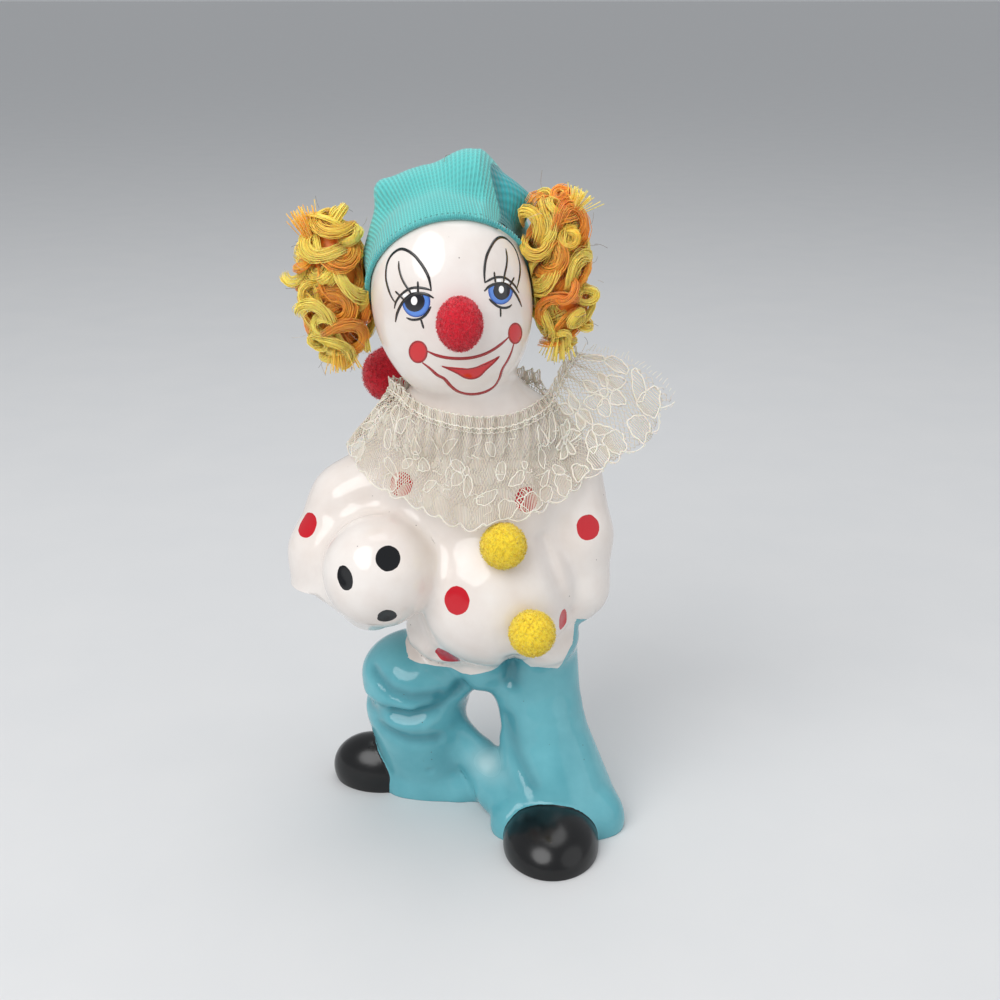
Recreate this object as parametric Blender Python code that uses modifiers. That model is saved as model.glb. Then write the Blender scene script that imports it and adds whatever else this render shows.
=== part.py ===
"""A glazed ceramic clown, cast as one, in a knitted cap with doll hair, pompoms and a lace collar.

The cast figure is laid out in shares of its own height: one share is a millimetre while
CERAMIC_HEIGHT is 190 mm. +X is to the clown's left, -Y is to its front and +Z is up.
"""

import math

import bmesh
import bpy
import numpy as np
from mathutils import Euler, Matrix, Vector

# Driving sizes, in metres.
CERAMIC_HEIGHT = 0.190
NOSE_WIDTH = 0.0128
BUTTON_WIDTH = 0.0135
CAP_POMPOM_WIDTH = 0.0175
POMPOM_SINK = 0.0016
KNIT_WALL = 0.0012
LACE_WIDTH = 0.031
LACE_THICKNESS = 0.0010
LACE_RUFFLE = 0.0011
CURL_SIZE = 0.0078
FIT_GAP = 0.0003
HAIR_SEAT_GAP = 0.0009
LACE_LIFT = 0.0008

SHARES_TALL = 190
SHARE = CERAMIC_HEIGHT / SHARES_TALL

# The forms below are laid out round the neck. The whole piece then stands with the middle of
# the floor area that it covers at the origin: this is that middle, in shares.
FLOOR_MIDDLE = (-0.6, -10.5)

# The head leans to its right and looks a little to its left, in degrees.
HEAD_CENTRE = (-8.5, -8.0, 160.6)
HEAD_RADII = (22.6, 22.0, 29.6)
HEAD_LEAN = -7.0
HEAD_LOOK = 6.0

# The cap's edge is a slanted plane: high on the forehead, at the nape behind.
BRIM_POINT = (0.0, -12.5, 24.0)
BRIM_SLOPE = 52.0
BRIM_NAPE = -8.0

# How fine each solid is: the grid that its forms are fused on, in shares, and its triangles.
FIGURE_VOXEL = 1.3
FIGURE_TRIANGLES = 4500
CAP_VOXEL = 1.2
CAP_TRIANGLES = 1250
HAIR_VOXEL = 0.9
HAIR_TRIANGLES = 800
HEAD_CUTTER_SEGMENTS = 28
HEAD_CUTTER_RINGS = 20
POMPOM_SEGMENTS = 14
POMPOM_RINGS = 9
LACE_STEPS_ROUND = 54
LACE_STEPS_ACROSS = 5


class Egg:
    """An ellipsoid that blends into the forms before it."""

    def __init__(self, name, centre, radii, blend=4.0, turn=(0.0, 0.0, 0.0)):
        self.name = name
        self.centre = np.array(centre, float)
        self.radii = np.array(radii, float)
        self.blend = blend
        self.matrix = Euler([math.radians(angle) for angle in turn], "XYZ").to_matrix()
        self.rotation = np.array(self.matrix)

    def distance(self, points):
        local = (points - self.centre) @ self.rotation
        near = np.linalg.norm(local / self.radii, axis=1)
        steep = np.linalg.norm(local / self.radii**2, axis=1)
        return near * (near - 1.0) / np.maximum(steep, 1e-6)

    def block_out(self, bm):
        place = Matrix.Translation(Vector(self.centre)) @ self.matrix.to_4x4()
        stretch = Matrix.Diagonal(Vector(self.radii)).to_4x4()
        bmesh.ops.create_icosphere(bm, subdivisions=3, radius=1.0, matrix=place @ stretch)


class Limb:
    """A round bar between two points, with its own radius at each end. A floor cuts it off level."""

    def __init__(self, name, start, end, start_radius, end_radius, blend=4.0, floor=None):
        self.name = name
        self.start = np.array(start, float)
        self.end = np.array(end, float)
        self.start_radius = start_radius
        self.end_radius = end_radius
        self.blend = blend
        self.floor = floor

    def distance(self, points):
        axis = self.end - self.start
        along = np.clip((points - self.start) @ axis / (axis @ axis), 0.0, 1.0)
        radius = self.start_radius + along * (self.end_radius - self.start_radius)
        found = np.linalg.norm(points - self.start - along[:, None] * axis, axis=1) - radius
        if self.floor is not None:
            found = np.maximum(found, self.floor - points[:, 2])
        return found

    def block_out(self, bm):
        axis = Vector(self.end - self.start)
        middle = Matrix.Translation(Vector(self.start + self.end) / 2)
        aim = axis.to_track_quat("Z", "Y").to_matrix().to_4x4()
        for centre, radius in ((self.start, self.start_radius), (self.end, self.end_radius)):
            ball = Matrix.Translation(Vector(centre))
            bmesh.ops.create_icosphere(bm, subdivisions=3, radius=radius, matrix=ball)
        bmesh.ops.create_cone(
            bm,
            cap_ends=True,
            segments=24,
            radius1=self.start_radius,
            radius2=self.end_radius,
            depth=axis.length,
            matrix=middle @ aim,
        )


HEAD = Egg("head", HEAD_CENTRE, HEAD_RADII, blend=2.5, turn=(0.0, HEAD_LEAN, HEAD_LOOK))

FIGURE_FORMS = [
    Egg("chest", (-3, -2, 101), (31, 26, 21)),
    Egg("belly", (3, -8, 77), (27, 32, 26.5), blend=7),
    Egg("seat", (2, 2, 60), (26, 22, 17), blend=6),
    Egg("slope of the shoulders", (-3.5, -3, 119), (27.5, 20, 18.5), blend=5),
    Limb("neck", (-5, -5, 142), (-4, -3, 122), 14, 17, blend=5),
    HEAD,
    Limb("shoulder over the ball", (-29, -1, 103), (-38, -3, 97), 14, 14, blend=5),
    Limb("sleeve over the ball", (-38, -3, 97), (-45, -7, 84), 14, 13.3, blend=3),
    Limb("cuff over the ball", (-45, -7, 84), (-46.3, -8, 72), 13.3, 12, blend=2, floor=75.3),
    Limb("hand under the ball", (-41, -16, 77.5), (-33, -24, 74), 8, 7, blend=2),
    Egg("ball", (-29.5, -27, 86.5), (16.5, 16.5, 16.5), blend=2.5),
    Limb("shoulder by the pocket", (22, -2, 106), (25.5, -8, 90), 13.6, 13, blend=4),
    Limb("sleeve by the pocket", (25.5, -8, 90), (25.6, -10, 75), 13, 12, blend=2),
    Limb("cuff by the pocket", (25.6, -10, 75), (20, -12, 66.5), 12, 8.5, blend=2),
    Limb("hem over the ball side", (-10, -14, 70), (-13, -15, 61.5), 10.5, 9, blend=5),
    Egg("hem over the pocket side", (17.5, -12, 59.5), (11.5, 14, 9.5), blend=2),
    Egg("crotch", (0, -4, 47), (11, 15, 8.5), blend=5),
    Egg("thigh behind", (-20, -3, 42), (18.3, 17, 13), blend=3),
    Limb("shin behind", (-21, -1, 30), (-16.5, 5, 0), 16.6, 15, blend=3),
    Limb("hem behind", (-23.5, -1, 2), (-8, -4, 2), 9, 8.5, blend=3),
    Limb("thigh before", (14, -5, 52), (17.5, -11, 31), 15, 12.8, blend=4),
    Limb("shin before", (17.5, -11, 31), (23, -17, 2), 12.8, 19, blend=3),
    Limb("hem before", (10, -26.5, 2), (35, -24, 2), 8, 8.5, blend=4),
    Limb("web between the legs", (5, -15, 7), (0, 8, 0), 8, 6, blend=5),
    Limb("web on the slant", (-12, -3, 26), (0, -10, 13), 6.5, 6, blend=4),
    Egg("shoe before", (20.3, -36, 1.5), (14.4, 18.3, 10.8), blend=0.6),
    Egg("shoe behind", (-35.5, 3.5, 4), (14.2, 10.5, 11.4), blend=0.6, turn=(0, 0, -16)),
]

# The gap between the legs runs through and down towards the back, wide above and narrow below.
LEG_GAP = [
    Limb("gap above", (-1.0, -14, 34.2), (-0.4, 40, 4), 4.5, 6),
    Limb("gap below", (2.0, -14, 28.5), (1.6, 40, -1.5), 2.4, 4, blend=5),
]

# Folds of the clothes, each as its route in X and Z, its half width and its depth. A depth under
# zero is a ridge. FRONT folds are seen on the side that faces -Y, and BACK folds on the other.
FRONT_FOLDS = [
    ([(-33, 46), (-28, 42.3), (-22, 40.6), (-14, 41.3)], 2.2, 1.6),
    ([(-27, 34.6), (-22, 34.2), (-15, 36.4), (-7, 43)], 2.4, 1.9),
    ([(-36, 33), (-30, 27.6), (-23, 24.8), (-15, 24.8)], 2.4, 1.5),
    ([(-36, 38.5), (-30, 37.5), (-22, 37.2)], 1.8, -0.9),
    ([(-34, 30.5), (-26, 29.5), (-17, 30.5)], 1.8, -0.8),
    ([(8.5, 47), (8.3, 54), (8.5, 60)], 2.6, 2.2),
    ([(7.5, 34), (10, 24), (14.5, 16)], 2.6, 1.3),
    ([(17, 95), (21, 84), (25, 71)], 1.8, 1.2),
    ([(-19, 72), (-17, 64), (-14, 57)], 2.2, 1.4),
    ([(-23, 68), (-22.5, 55)], 1.8, -0.8),
    ([(-44, 99), (-38, 103), (-30, 104)], 3.0, 1.0),
]
BACK_FOLDS = [
    ([(-30, 40), (-18, 37), (-6, 41)], 3.0, 1.3),
    ([(-30, 27), (-20, 24), (-10, 27)], 3.0, 1.1),
    ([(10, 40), (20, 36), (28, 38)], 3.0, 1.2),
    ([(0, 92), (2, 76), (3, 62)], 4.0, 1.2),
    ([(-28, 100), (-20, 88), (-16, 76)], 3.4, 1.2),
    ([(22, 98), (17, 86), (15, 74)], 3.4, 1.2),
]

# The lace runs from behind the clown's left shoulder round its right to the flap on its left.
# Each row is a point of the neckline, the way and the share of its width that the lace falls
# from there, where 31 is all of it, and how far its middle stands up from a straight fall.
LACE_FULL = 31.0
LACE_STATIONS = [
    ((17, 8, 132), (14, 11, -21), 0),
    ((8, 14, 132), (6, 14, -24), 0),
    ((-6, 16, 131), (-3, 15, -25), 0),
    ((-18, 11, 129), (-12, 12, -21), 0),
    ((-27, 3, 131.5), (-12, 3, -18), 0),
    ((-24, -6, 132), (-13, -6, -18.5), 1),
    ((-18, -12, 128.5), (-8, -13, -21), 0),
    ((-9.5, -17, 127), (-5, -15.5, -22), 0),
    ((-0.7, -18.5, 125.9), (-2.6, -18, -24), 0),
    ((8, -16, 125.7), (2.5, -17, -22), 0),
    ((15, -9, 126.5), (8, -13.5, -20), 0),
    ((20, -2, 130), (14, -9, -19), 0),
    ((24, 2, 137), (23, -4, -21), 2),
    ((28, 4.5, 142.5), (28.5, -0.5, -15), 4.5),
]
LACE_RUFFLES = 15
LEG_GAP_BLEND = 2.5
UP = np.array((0.0, 0.0, 1.0))

CAP_FORMS = [
    Egg("crown", HEAD_CENTRE, HEAD_RADII, turn=(0.0, HEAD_LEAN, HEAD_LOOK)),
    Limb("side fold", (-29, -3, 173), (-26.5, -1, 189), 4.0, 2.6, blend=6),
    Limb("corner at its right", (-26.5, -1, 190.5), (-17, -2, 190), 2.6, 5.5, blend=5),
    Limb("top fold", (-17, -2, 190), (-3.5, -1, 193.2), 5.5, 7, blend=6),
    Limb("fold at its left", (-3.5, -1, 193.2), (11, 3, 186), 7, 5, blend=6),
    Limb("tail at the crown", (1, 3, 184), (3, 13, 172), 12, 11, blend=5),
    Limb("tail behind", (3, 13, 172), (-3, 18, 160), 11, 9, blend=5),
    Limb("tail low", (-3, 18, 160), (-16, 21, 148), 9, 6, blend=4),
    Limb("tail end", (-16, 21, 148), (-25, 20, 141), 6, 3.6, blend=3),
]
CAP_POMPOM_CENTRE = (-28.5, 17.5, 132.6)

# Each bunch of hair by its middle, its half sizes and its turn. A curl is an egg of the half
# sizes below, in shares of its own half width, and the core stays under the curls.
HAIR_PLACES = {
    "hair_right": ((-41.5, -3, 163.5), (12.8, 13, 24), (0, -3, 0)),
    "hair_left": ((21.5, -2, 168), (11.8, 13, 24.5), (0, -4, 0)),
}
CURLS_PER_BUNCH = 34
CURL_SHAPE = np.array((1.05, 1.0, 0.95))
CURL_BLEND = 1.2
CORE_UNDER_CURLS = 1.3
NOSE_AIM = (0.0, -1.0, -0.02)
BUTTON_AIMS = {"button_upper": (5.4, 94.0), "button_lower": (12.0, 74.5)}


def linear(hex_colour):
    """An sRGB hex colour as linear red, green, blue and alpha."""
    parts = [int(hex_colour[i : i + 2], 16) / 255 for i in (1, 3, 5)]
    return [c / 12.92 if c <= 0.04045 else ((c + 0.055) / 1.055) ** 2.4 for c in parts] + [1.0]


def material(name, hex_colour, roughness, coat=0.0):
    made = bpy.data.materials.new(name)
    made.use_nodes = True
    shader = made.node_tree.nodes["Principled BSDF"]
    shader.inputs["Base Color"].default_value = linear(hex_colour)
    shader.inputs["Roughness"].default_value = roughness
    shader.inputs["Metallic"].default_value = 0.0
    shader.inputs["Coat Weight"].default_value = coat
    return made


def smooth_min(first, second, blend):
    """The nearer of two distances, with a fillet about as wide as the blend."""
    overlap = np.maximum(blend - np.abs(first - second), 0.0) / blend
    return np.minimum(first, second) - overlap**2 * blend / 4


def blended(forms, points):
    found = forms[0].distance(points)
    for form in forms[1:]:
        found = smooth_min(found, form.distance(points), form.blend)
    return found


def route_distance(points, route):
    """How far each point's X and Z lie from a route of straight runs."""
    flat = points[:, [0, 2]]
    nearest = np.full(len(points), np.inf)
    for start, end in zip(route[:-1], route[1:]):
        start = np.array(start, float)
        run = np.array(end, float) - start
        along = np.clip((flat - start) @ run / (run @ run), 0.0, 1.0)
        gap = np.linalg.norm(flat - start - along[:, None] * run, axis=1)
        nearest = np.minimum(nearest, gap)
    return nearest


def fold_depth(points):
    """How far the folds sink the surface at each point."""
    depth = np.zeros(len(points))
    middle = -2.0
    for folds, side in ((FRONT_FOLDS, -1.0), (BACK_FOLDS, 1.0)):
        facing = np.clip(0.5 + side * (points[:, 1] - middle) / 8.0, 0.0, 1.0)
        for route, half_width, deep in folds:
            depth += facing * deep * np.exp(-((route_distance(points, route) / half_width) ** 2))
    return depth


def figure_distance(points):
    cast = blended(FIGURE_FORMS, points) + fold_depth(points)
    return -smooth_min(-cast, blended(LEG_GAP, points), LEG_GAP_BLEND)


def in_head(points):
    """Points in the head's own directions, from its centre."""
    return (points - HEAD.centre) @ HEAD.rotation


def cap_outside(points):
    """The cap's outer surface, without its edge: the crown is the head grown by gap and knit."""
    grown = (FIT_GAP + KNIT_WALL) / SHARE
    found = CAP_FORMS[0].distance(points) - grown
    for form in CAP_FORMS[1:]:
        found = smooth_min(found, form.distance(points), form.blend)
    return found


def above_brim(points):
    """How far each point is past the plane of the cap's edge, on the cap's side."""
    slope = math.radians(BRIM_SLOPE)
    normal = np.array((0.0, math.sin(slope), math.cos(slope)))
    local = in_head(points)
    return np.minimum((local - np.array(BRIM_POINT)) @ normal, local[:, 2] - BRIM_NAPE)


def cap_distance(points):
    return np.maximum(cap_outside(points), -above_brim(points))


def curl_centres(name):
    """Where the curls of a bunch lie: a spiral over its egg, each at its own place."""
    centre, radii, turn = HAIR_PLACES[name]
    rotation = Egg(name, centre, radii, turn=turn).rotation
    inset = 0.5 * CURL_SIZE / SHARE
    golden = math.pi * (3 - math.sqrt(5))
    places = []
    for i in range(CURLS_PER_BUNCH):
        height = 1 - 2 * (i + 0.5) / CURLS_PER_BUNCH
        ring = math.sqrt(1 - height * height)
        way = np.array((ring * math.cos(golden * i), ring * math.sin(golden * i), height))
        places.append(np.array(centre, float) + rotation @ (way * (np.array(radii) - inset)))
    return places


def hair_forms(name):
    """A core and a curl at each place, which swell it into a bunch of ringlets."""
    centre, radii, turn = HAIR_PLACES[name]
    half_curl = 0.5 * CURL_SIZE / SHARE
    core = Egg(name, centre, np.array(radii) - CORE_UNDER_CURLS * half_curl, turn=turn)
    curls = [
        Egg("curl", place, CURL_SHAPE * half_curl, blend=CURL_BLEND)
        for place in curl_centres(name)
    ]
    return [core] + curls


HAIR_FORMS = {name: hair_forms(name) for name in HAIR_PLACES}


def head_and_cap(points):
    return np.minimum(HEAD.distance(points), cap_distance(points))


def hair_distance(name, points):
    """A bunch of hair, pressed flat against the head and the cap."""
    seat = head_and_cap(points) - HAIR_SEAT_GAP / SHARE
    return np.maximum(blended(HAIR_FORMS[name], points), -seat)


def slope_of(distance, points):
    """The direction in which a distance grows, at each point."""
    step = 0.05
    slopes = np.empty_like(points)
    for axis in range(3):
        shift = np.zeros(3)
        shift[axis] = step
        slopes[:, axis] = (distance(points + shift) - distance(points - shift)) / (2 * step)
    return slopes


def settle(distance, points, level=0.0, turns=5):
    """Points moved on to the surface where the distance equals the level."""
    least_steep = 0.2
    longest_step = 2.0
    for _ in range(turns):
        slopes = slope_of(distance, points)
        steep = np.maximum((slopes**2).sum(axis=1), least_steep)
        shift = (distance(points) - level)[:, None] * slopes / steep[:, None]
        long = np.maximum(np.linalg.norm(shift, axis=1), 1e-9)
        points = points - shift * np.minimum(1.0, longest_step / long)[:, None]
    return points


def push_out(distance, points, level, turns=6):
    """Points that are nearer than the level moved out to it, and the rest left as they are."""
    for _ in range(turns):
        near = distance(points) < level
        if not near.any():
            break
        points = points.copy()
        points[near] = settle(distance, points[near], level, turns=2)
    return points


def points_of(mesh):
    found = np.empty(len(mesh.vertices) * 3)
    mesh.vertices.foreach_get("co", found)
    return found.reshape(-1, 3)


def put_points(mesh, points):
    mesh.vertices.foreach_set("co", np.asarray(points, float).ravel())
    mesh.update()


def with_modifier(mesh, kind, **settings):
    """The mesh that a modifier makes of a mesh."""
    carrier = bpy.data.objects.new("carrier", mesh)
    bpy.context.scene.collection.objects.link(carrier)
    modifier = carrier.modifiers.new(kind.title(), kind)
    for name, value in settings.items():
        setattr(modifier, name, value)
    graph = bpy.context.evaluated_depsgraph_get()
    made = bpy.data.meshes.new_from_object(carrier.evaluated_get(graph))
    bpy.data.objects.remove(carrier)
    return made


def moulded(forms, distance, voxel, triangles):
    """A mesh in shares: the forms blocked out as one skin, settled on their blended surface."""
    bm = bmesh.new()
    for form in forms:
        form.block_out(bm)
    mesh = bpy.data.meshes.new("block")
    bm.to_mesh(mesh)
    bm.free()
    mesh = with_modifier(mesh, "REMESH", mode="VOXEL", voxel_size=voxel)
    put_points(mesh, settle(distance, points_of(mesh)))
    mesh = with_modifier(mesh, "TRIANGULATE")
    share_kept = min(1.0, triangles / len(mesh.polygons))
    return with_modifier(mesh, "DECIMATE", ratio=share_kept, use_collapse_triangulate=True)


def cut_level(mesh, height):
    """The mesh without what is under a height, closed there by a flat face."""
    bm = bmesh.new()
    bm.from_mesh(mesh)
    every = bm.verts[:] + bm.edges[:] + bm.faces[:]
    bmesh.ops.bisect_plane(
        bm, geom=every, dist=1e-4, plane_co=(0, 0, height), plane_no=(0, 0, 1), clear_inner=True
    )
    rim = [edge for edge in bm.edges if edge.is_boundary]
    bmesh.ops.holes_fill(bm, edges=rim)
    bmesh.ops.triangulate(bm, faces=[face for face in bm.faces if len(face.verts) > 3])
    bmesh.ops.recalc_face_normals(bm, faces=bm.faces[:])
    bm.to_mesh(mesh)
    bm.free()
    return mesh


def piece(name, mesh, finish, collection, smooth_angle=50.0):
    """A named object from a mesh in shares."""
    middle = Matrix.Translation((-FLOOR_MIDDLE[0], -FLOOR_MIDDLE[1], 0.0))
    mesh.transform(Matrix.Scale(SHARE, 4) @ middle)
    mesh.name = name
    mesh.materials.clear()
    mesh.materials.append(finish)
    mesh.shade_smooth()
    mesh.set_sharp_from_angle(angle=math.radians(smooth_angle))
    made = bpy.data.objects.new(name, mesh)
    collection.objects.link(made)
    return made


def make_figure():
    mesh = moulded(FIGURE_FORMS, figure_distance, FIGURE_VOXEL, FIGURE_TRIANGLES)
    return cut_level(mesh, 0.0)


def bent_round(mesh, carrier, level):
    """The mesh with each edge that cuts across its carrier split, and bent out to the level."""
    bm = bmesh.new()
    bm.from_mesh(mesh)
    most_turns = 4
    near_level = 0.75 * level
    shortest_split = 1.5
    for _ in range(most_turns):
        edges = bm.edges[:]
        middles = np.array([(e.verts[0].co + e.verts[1].co) / 2 for e in edges])
        near = carrier(middles) < near_level
        split = [e for e, found in zip(edges, near) if found and e.calc_length() > shortest_split]
        if not split:
            break
        bmesh.ops.subdivide_edges(bm, edges=split, cuts=1)
        bmesh.ops.triangulate(bm, faces=[face for face in bm.faces if len(face.verts) > 3])
        spots = push_out(carrier, np.array([vert.co for vert in bm.verts]), level)
        for vert, spot in zip(bm.verts, spots):
            vert.co = spot
    bm.to_mesh(mesh)
    bm.free()
    return mesh


def make_hair(name):
    seated = lambda points: hair_distance(name, points)
    mesh = moulded(HAIR_FORMS[name], seated, HAIR_VOXEL, HAIR_TRIANGLES)
    return bent_round(mesh, head_and_cap, HAIR_SEAT_GAP / SHARE)


def boolean(mesh, cutter, operation):
    """One mesh joined with another, or cut by it."""
    tool = bpy.data.objects.new("tool", cutter)
    bpy.context.scene.collection.objects.link(tool)
    made = with_modifier(mesh, "BOOLEAN", object=tool, operation=operation, solver="EXACT")
    bpy.data.objects.remove(tool)
    return made


def head_grown(by):
    """The head's own egg, grown by a wall or a gap: its flat faces touch the true egg."""
    segments = HEAD_CUTTER_SEGMENTS
    rings = HEAD_CUTTER_RINGS
    bm = bmesh.new()
    bmesh.ops.create_uvsphere(bm, u_segments=segments, v_segments=rings, radius=1.0)
    mesh = bpy.data.meshes.new("head grown")
    bm.to_mesh(mesh)
    bm.free()
    round_it = 1 / (math.cos(math.pi / segments) * math.cos(math.pi / rings / 2))
    local = points_of(mesh) * (np.array(HEAD_RADII) + by) * round_it
    put_points(mesh, local @ HEAD.rotation.T + HEAD.centre)
    return mesh


def box_below(point, slope):
    """A box under a plane through a point of the head, in the head's directions."""
    bm = bmesh.new()
    reach = 90.0
    bmesh.ops.create_cube(bm, size=reach)
    tip = Matrix.Rotation(-math.radians(slope), 4, "X")
    down = Matrix.Translation((0, 0, -reach / 2))
    place = Matrix.Translation(Vector(HEAD.centre)) @ HEAD.matrix.to_4x4()
    bm.transform(place @ Matrix.Translation(point) @ tip @ down)
    mesh = bpy.data.meshes.new("below")
    bm.to_mesh(mesh)
    bm.free()
    return mesh


def make_cap():
    """The knit as a hollow shell: its outside, less the head with its gap, cut at the brim."""
    outside = moulded(CAP_FORMS, cap_outside, CAP_VOXEL, CAP_TRIANGLES)
    hollow = boolean(outside, head_grown(FIT_GAP / SHARE), "DIFFERENCE")
    edged = boolean(hollow, box_below(BRIM_POINT, BRIM_SLOPE), "DIFFERENCE")
    knit_at_nape = head_grown((FIT_GAP + 2 * KNIT_WALL) / SHARE)
    nape = boolean(knit_at_nape, box_below((0, 0, BRIM_NAPE), 0.0), "INTERSECT")
    shell = boolean(edged, nape, "DIFFERENCE")
    knot = ball(CAP_POMPOM_CENTRE, CAP_POMPOM_WIDTH + 2 * FIT_GAP)
    return boolean(shell, knot, "DIFFERENCE")


def ball(centre, width, aim=(0, 0, 1)):
    bm = bmesh.new()
    turn = Vector(aim).to_track_quat("Z", "Y").to_matrix().to_4x4()
    bmesh.ops.create_uvsphere(
        bm,
        u_segments=POMPOM_SEGMENTS,
        v_segments=POMPOM_RINGS,
        radius=width / SHARE / 2,
        matrix=Matrix.Translation(Vector(centre)) @ turn,
    )
    mesh = bpy.data.meshes.new("ball")
    bm.to_mesh(mesh)
    bm.free()
    return mesh


def pompom(centre, width, aim, carrier):
    """A ball of clipped yarn, flat where it is glued: nothing of it enters its carrier."""
    mesh = ball(centre, width, aim)
    put_points(mesh, push_out(carrier, points_of(mesh), FIT_GAP / SHARE * 1.3))
    return mesh


def seat_of_nose():
    """Where the nose is glued: on the head, straight ahead of its centre."""
    aim = HEAD.rotation @ (np.array(NOSE_AIM) / np.linalg.norm(NOSE_AIM))
    start = (HEAD.centre + aim * HEAD_RADII[1])[None, :]
    return settle(HEAD.distance, start)[0], aim


def seat_of_button(name):
    """Where a button is glued: the front of the body at its X and Z, and the way out there."""
    x, z = BUTTON_AIMS[name]
    deep = np.arange(-60.0, 0.0, 0.25)
    line = np.column_stack([np.full_like(deep, x), deep, np.full_like(deep, z)])
    first = np.argmax(figure_distance(line) < 0)
    seat = line[first : first + 1]
    out = slope_of(figure_distance, seat)[0]
    return seat[0], out / np.linalg.norm(out)


def lifted(seat, out, width):
    """The centre of a pompom that is pressed on to its seat."""
    return seat + out * (width / 2 - POMPOM_SINK) / SHARE


def soft_balls():
    """The centre and width of each pompom that the lace comes near."""
    found = [(np.array(CAP_POMPOM_CENTRE), CAP_POMPOM_WIDTH)]
    for name in BUTTON_AIMS:
        seat, out = seat_of_button(name)
        found.append((lifted(seat, out, BUTTON_WIDTH), BUTTON_WIDTH))
    return found


def smooth_route(points, count):
    """Points spread evenly along a smooth curve through the points given."""
    points = np.array(points, float)
    ends = np.vstack([2 * points[0] - points[1], points, 2 * points[-1] - points[-2]])
    fine = []
    for i in range(len(points) - 1):
        before, start, end, after = ends[i : i + 4]
        for t in np.linspace(0, 1, 16, endpoint=False):
            bend = 2 * before - 5 * start + 4 * end - after
            twist = 3 * (start - end) + after - before
            fine.append(start + 0.5 * t * (end - before + t * (bend + t * twist)))
    fine.append(points[-1])
    fine = np.array(fine)
    gone = np.concatenate([[0], np.cumsum(np.linalg.norm(np.diff(fine[:, :3], axis=0), axis=1))])
    wanted = np.linspace(0, gone[-1], count)
    return np.column_stack([np.interp(wanted, gone, fine[:, k]) for k in range(fine.shape[1])])


def lace_clear_of(points):
    """The distance from everything that the lace lies on or beside."""
    found = figure_distance(points)
    for centre, width in soft_balls():
        found = np.minimum(found, np.linalg.norm(points - centre, axis=1) - width / SHARE / 2)
    found = np.minimum(found, cap_outside(points))
    for name in HAIR_FORMS:
        found = np.minimum(found, hair_distance(name, points))
    return found


def make_lace():
    """The gathered lace as a thin closed sheet: it falls from the neckline, and lies on the body."""
    stations = [start + fall + (bow,) for start, fall, bow in LACE_STATIONS]
    rows = smooth_route(stations, LACE_STEPS_ROUND + 1)
    neckline, fall, bow = rows[:, :3], rows[:, 3:6], rows[:, 6:]
    width = LACE_WIDTH / SHARE / LACE_FULL
    clearance = (0.5 * LACE_THICKNESS + LACE_LIFT) / SHARE
    wave = np.sin(2 * math.pi * LACE_RUFFLES * np.linspace(0, 1, len(rows)))
    lift = LACE_RUFFLE / SHARE
    lines = []
    for j in range(LACE_STEPS_ACROSS + 1):
        out = j / LACE_STEPS_ACROSS
        spots = neckline + width * (fall * out + bow * UP * 4 * out * (1 - out))
        spots = push_out(lace_clear_of, spots, clearance)
        away = slope_of(figure_distance, spots)
        away /= np.maximum(np.linalg.norm(away, axis=1), 1e-6)[:, None]
        spots = spots + away * (lift * out * (1 + wave))[:, None]
        lines.append(push_out(lace_clear_of, spots, clearance))
    bm = bmesh.new()
    grid = [[bm.verts.new(spot) for spot in line] for line in lines]
    for upper, lower in zip(grid[:-1], grid[1:]):
        for i in range(len(upper) - 1):
            bm.faces.new((upper[i], upper[i + 1], lower[i + 1], lower[i]))
    bmesh.ops.recalc_face_normals(bm, faces=bm.faces[:])
    mesh = bpy.data.meshes.new("lace")
    bm.to_mesh(mesh)
    bm.free()
    thick = LACE_THICKNESS / SHARE
    return with_modifier(mesh, "SOLIDIFY", thickness=thick, offset=0.0, use_even_offset=False)


def main():
    for old in list(bpy.data.objects):
        bpy.data.objects.remove(old)
    collection = bpy.data.collections.new("clown_figurine")
    bpy.context.scene.collection.children.link(collection)

    glaze = material("glazed earthenware", "#EFE9E0", 0.08, coat=1.0)
    knit = material("ribbed cotton knit", "#5FC6C4", 0.9)
    lace = material("cotton lace", "#DDD3BF", 0.9)
    red_yarn = material("red acrylic pompom", "#D8213A", 0.95)
    yellow_yarn = material("yellow acrylic pompom", "#F3D321", 0.95)
    doll_hair = material("acrylic doll hair", "#F6B13C", 0.6)

    piece("figure", make_figure(), glaze, collection)
    piece("cap", make_cap(), knit, collection)
    for name in HAIR_PLACES:
        piece(name, make_hair(name), doll_hair, collection)
    seat, out = seat_of_nose()
    nose = pompom(lifted(seat, out, NOSE_WIDTH), NOSE_WIDTH, out, HEAD.distance)
    piece("nose_pompom", nose, red_yarn, collection)
    for name in BUTTON_AIMS:
        seat, out = seat_of_button(name)
        button = pompom(lifted(seat, out, BUTTON_WIDTH), BUTTON_WIDTH, out, figure_distance)
        piece(name, button, yellow_yarn, collection)
    hanging = pompom(CAP_POMPOM_CENTRE, CAP_POMPOM_WIDTH, (0, 0, 1), figure_distance)
    piece("cap_pompom", hanging, red_yarn, collection)
    piece("lace_collar", make_lace(), lace, collection)


main()
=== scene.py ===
"""The clown figurine as it stands: painted and glazed earthenware, a knitted cap, doll hair,
four yarn pompoms and a gathered lace collar.

The forms are laid out in shares of the figure's height, which are a millimetre each on this
figurine, round the clown's neck: +X is to the clown's left, -Y is to its front and +Z is up.
"""

import math

import bmesh
import bpy
import numpy as np
from mathutils import Euler, Matrix, Vector


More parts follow.
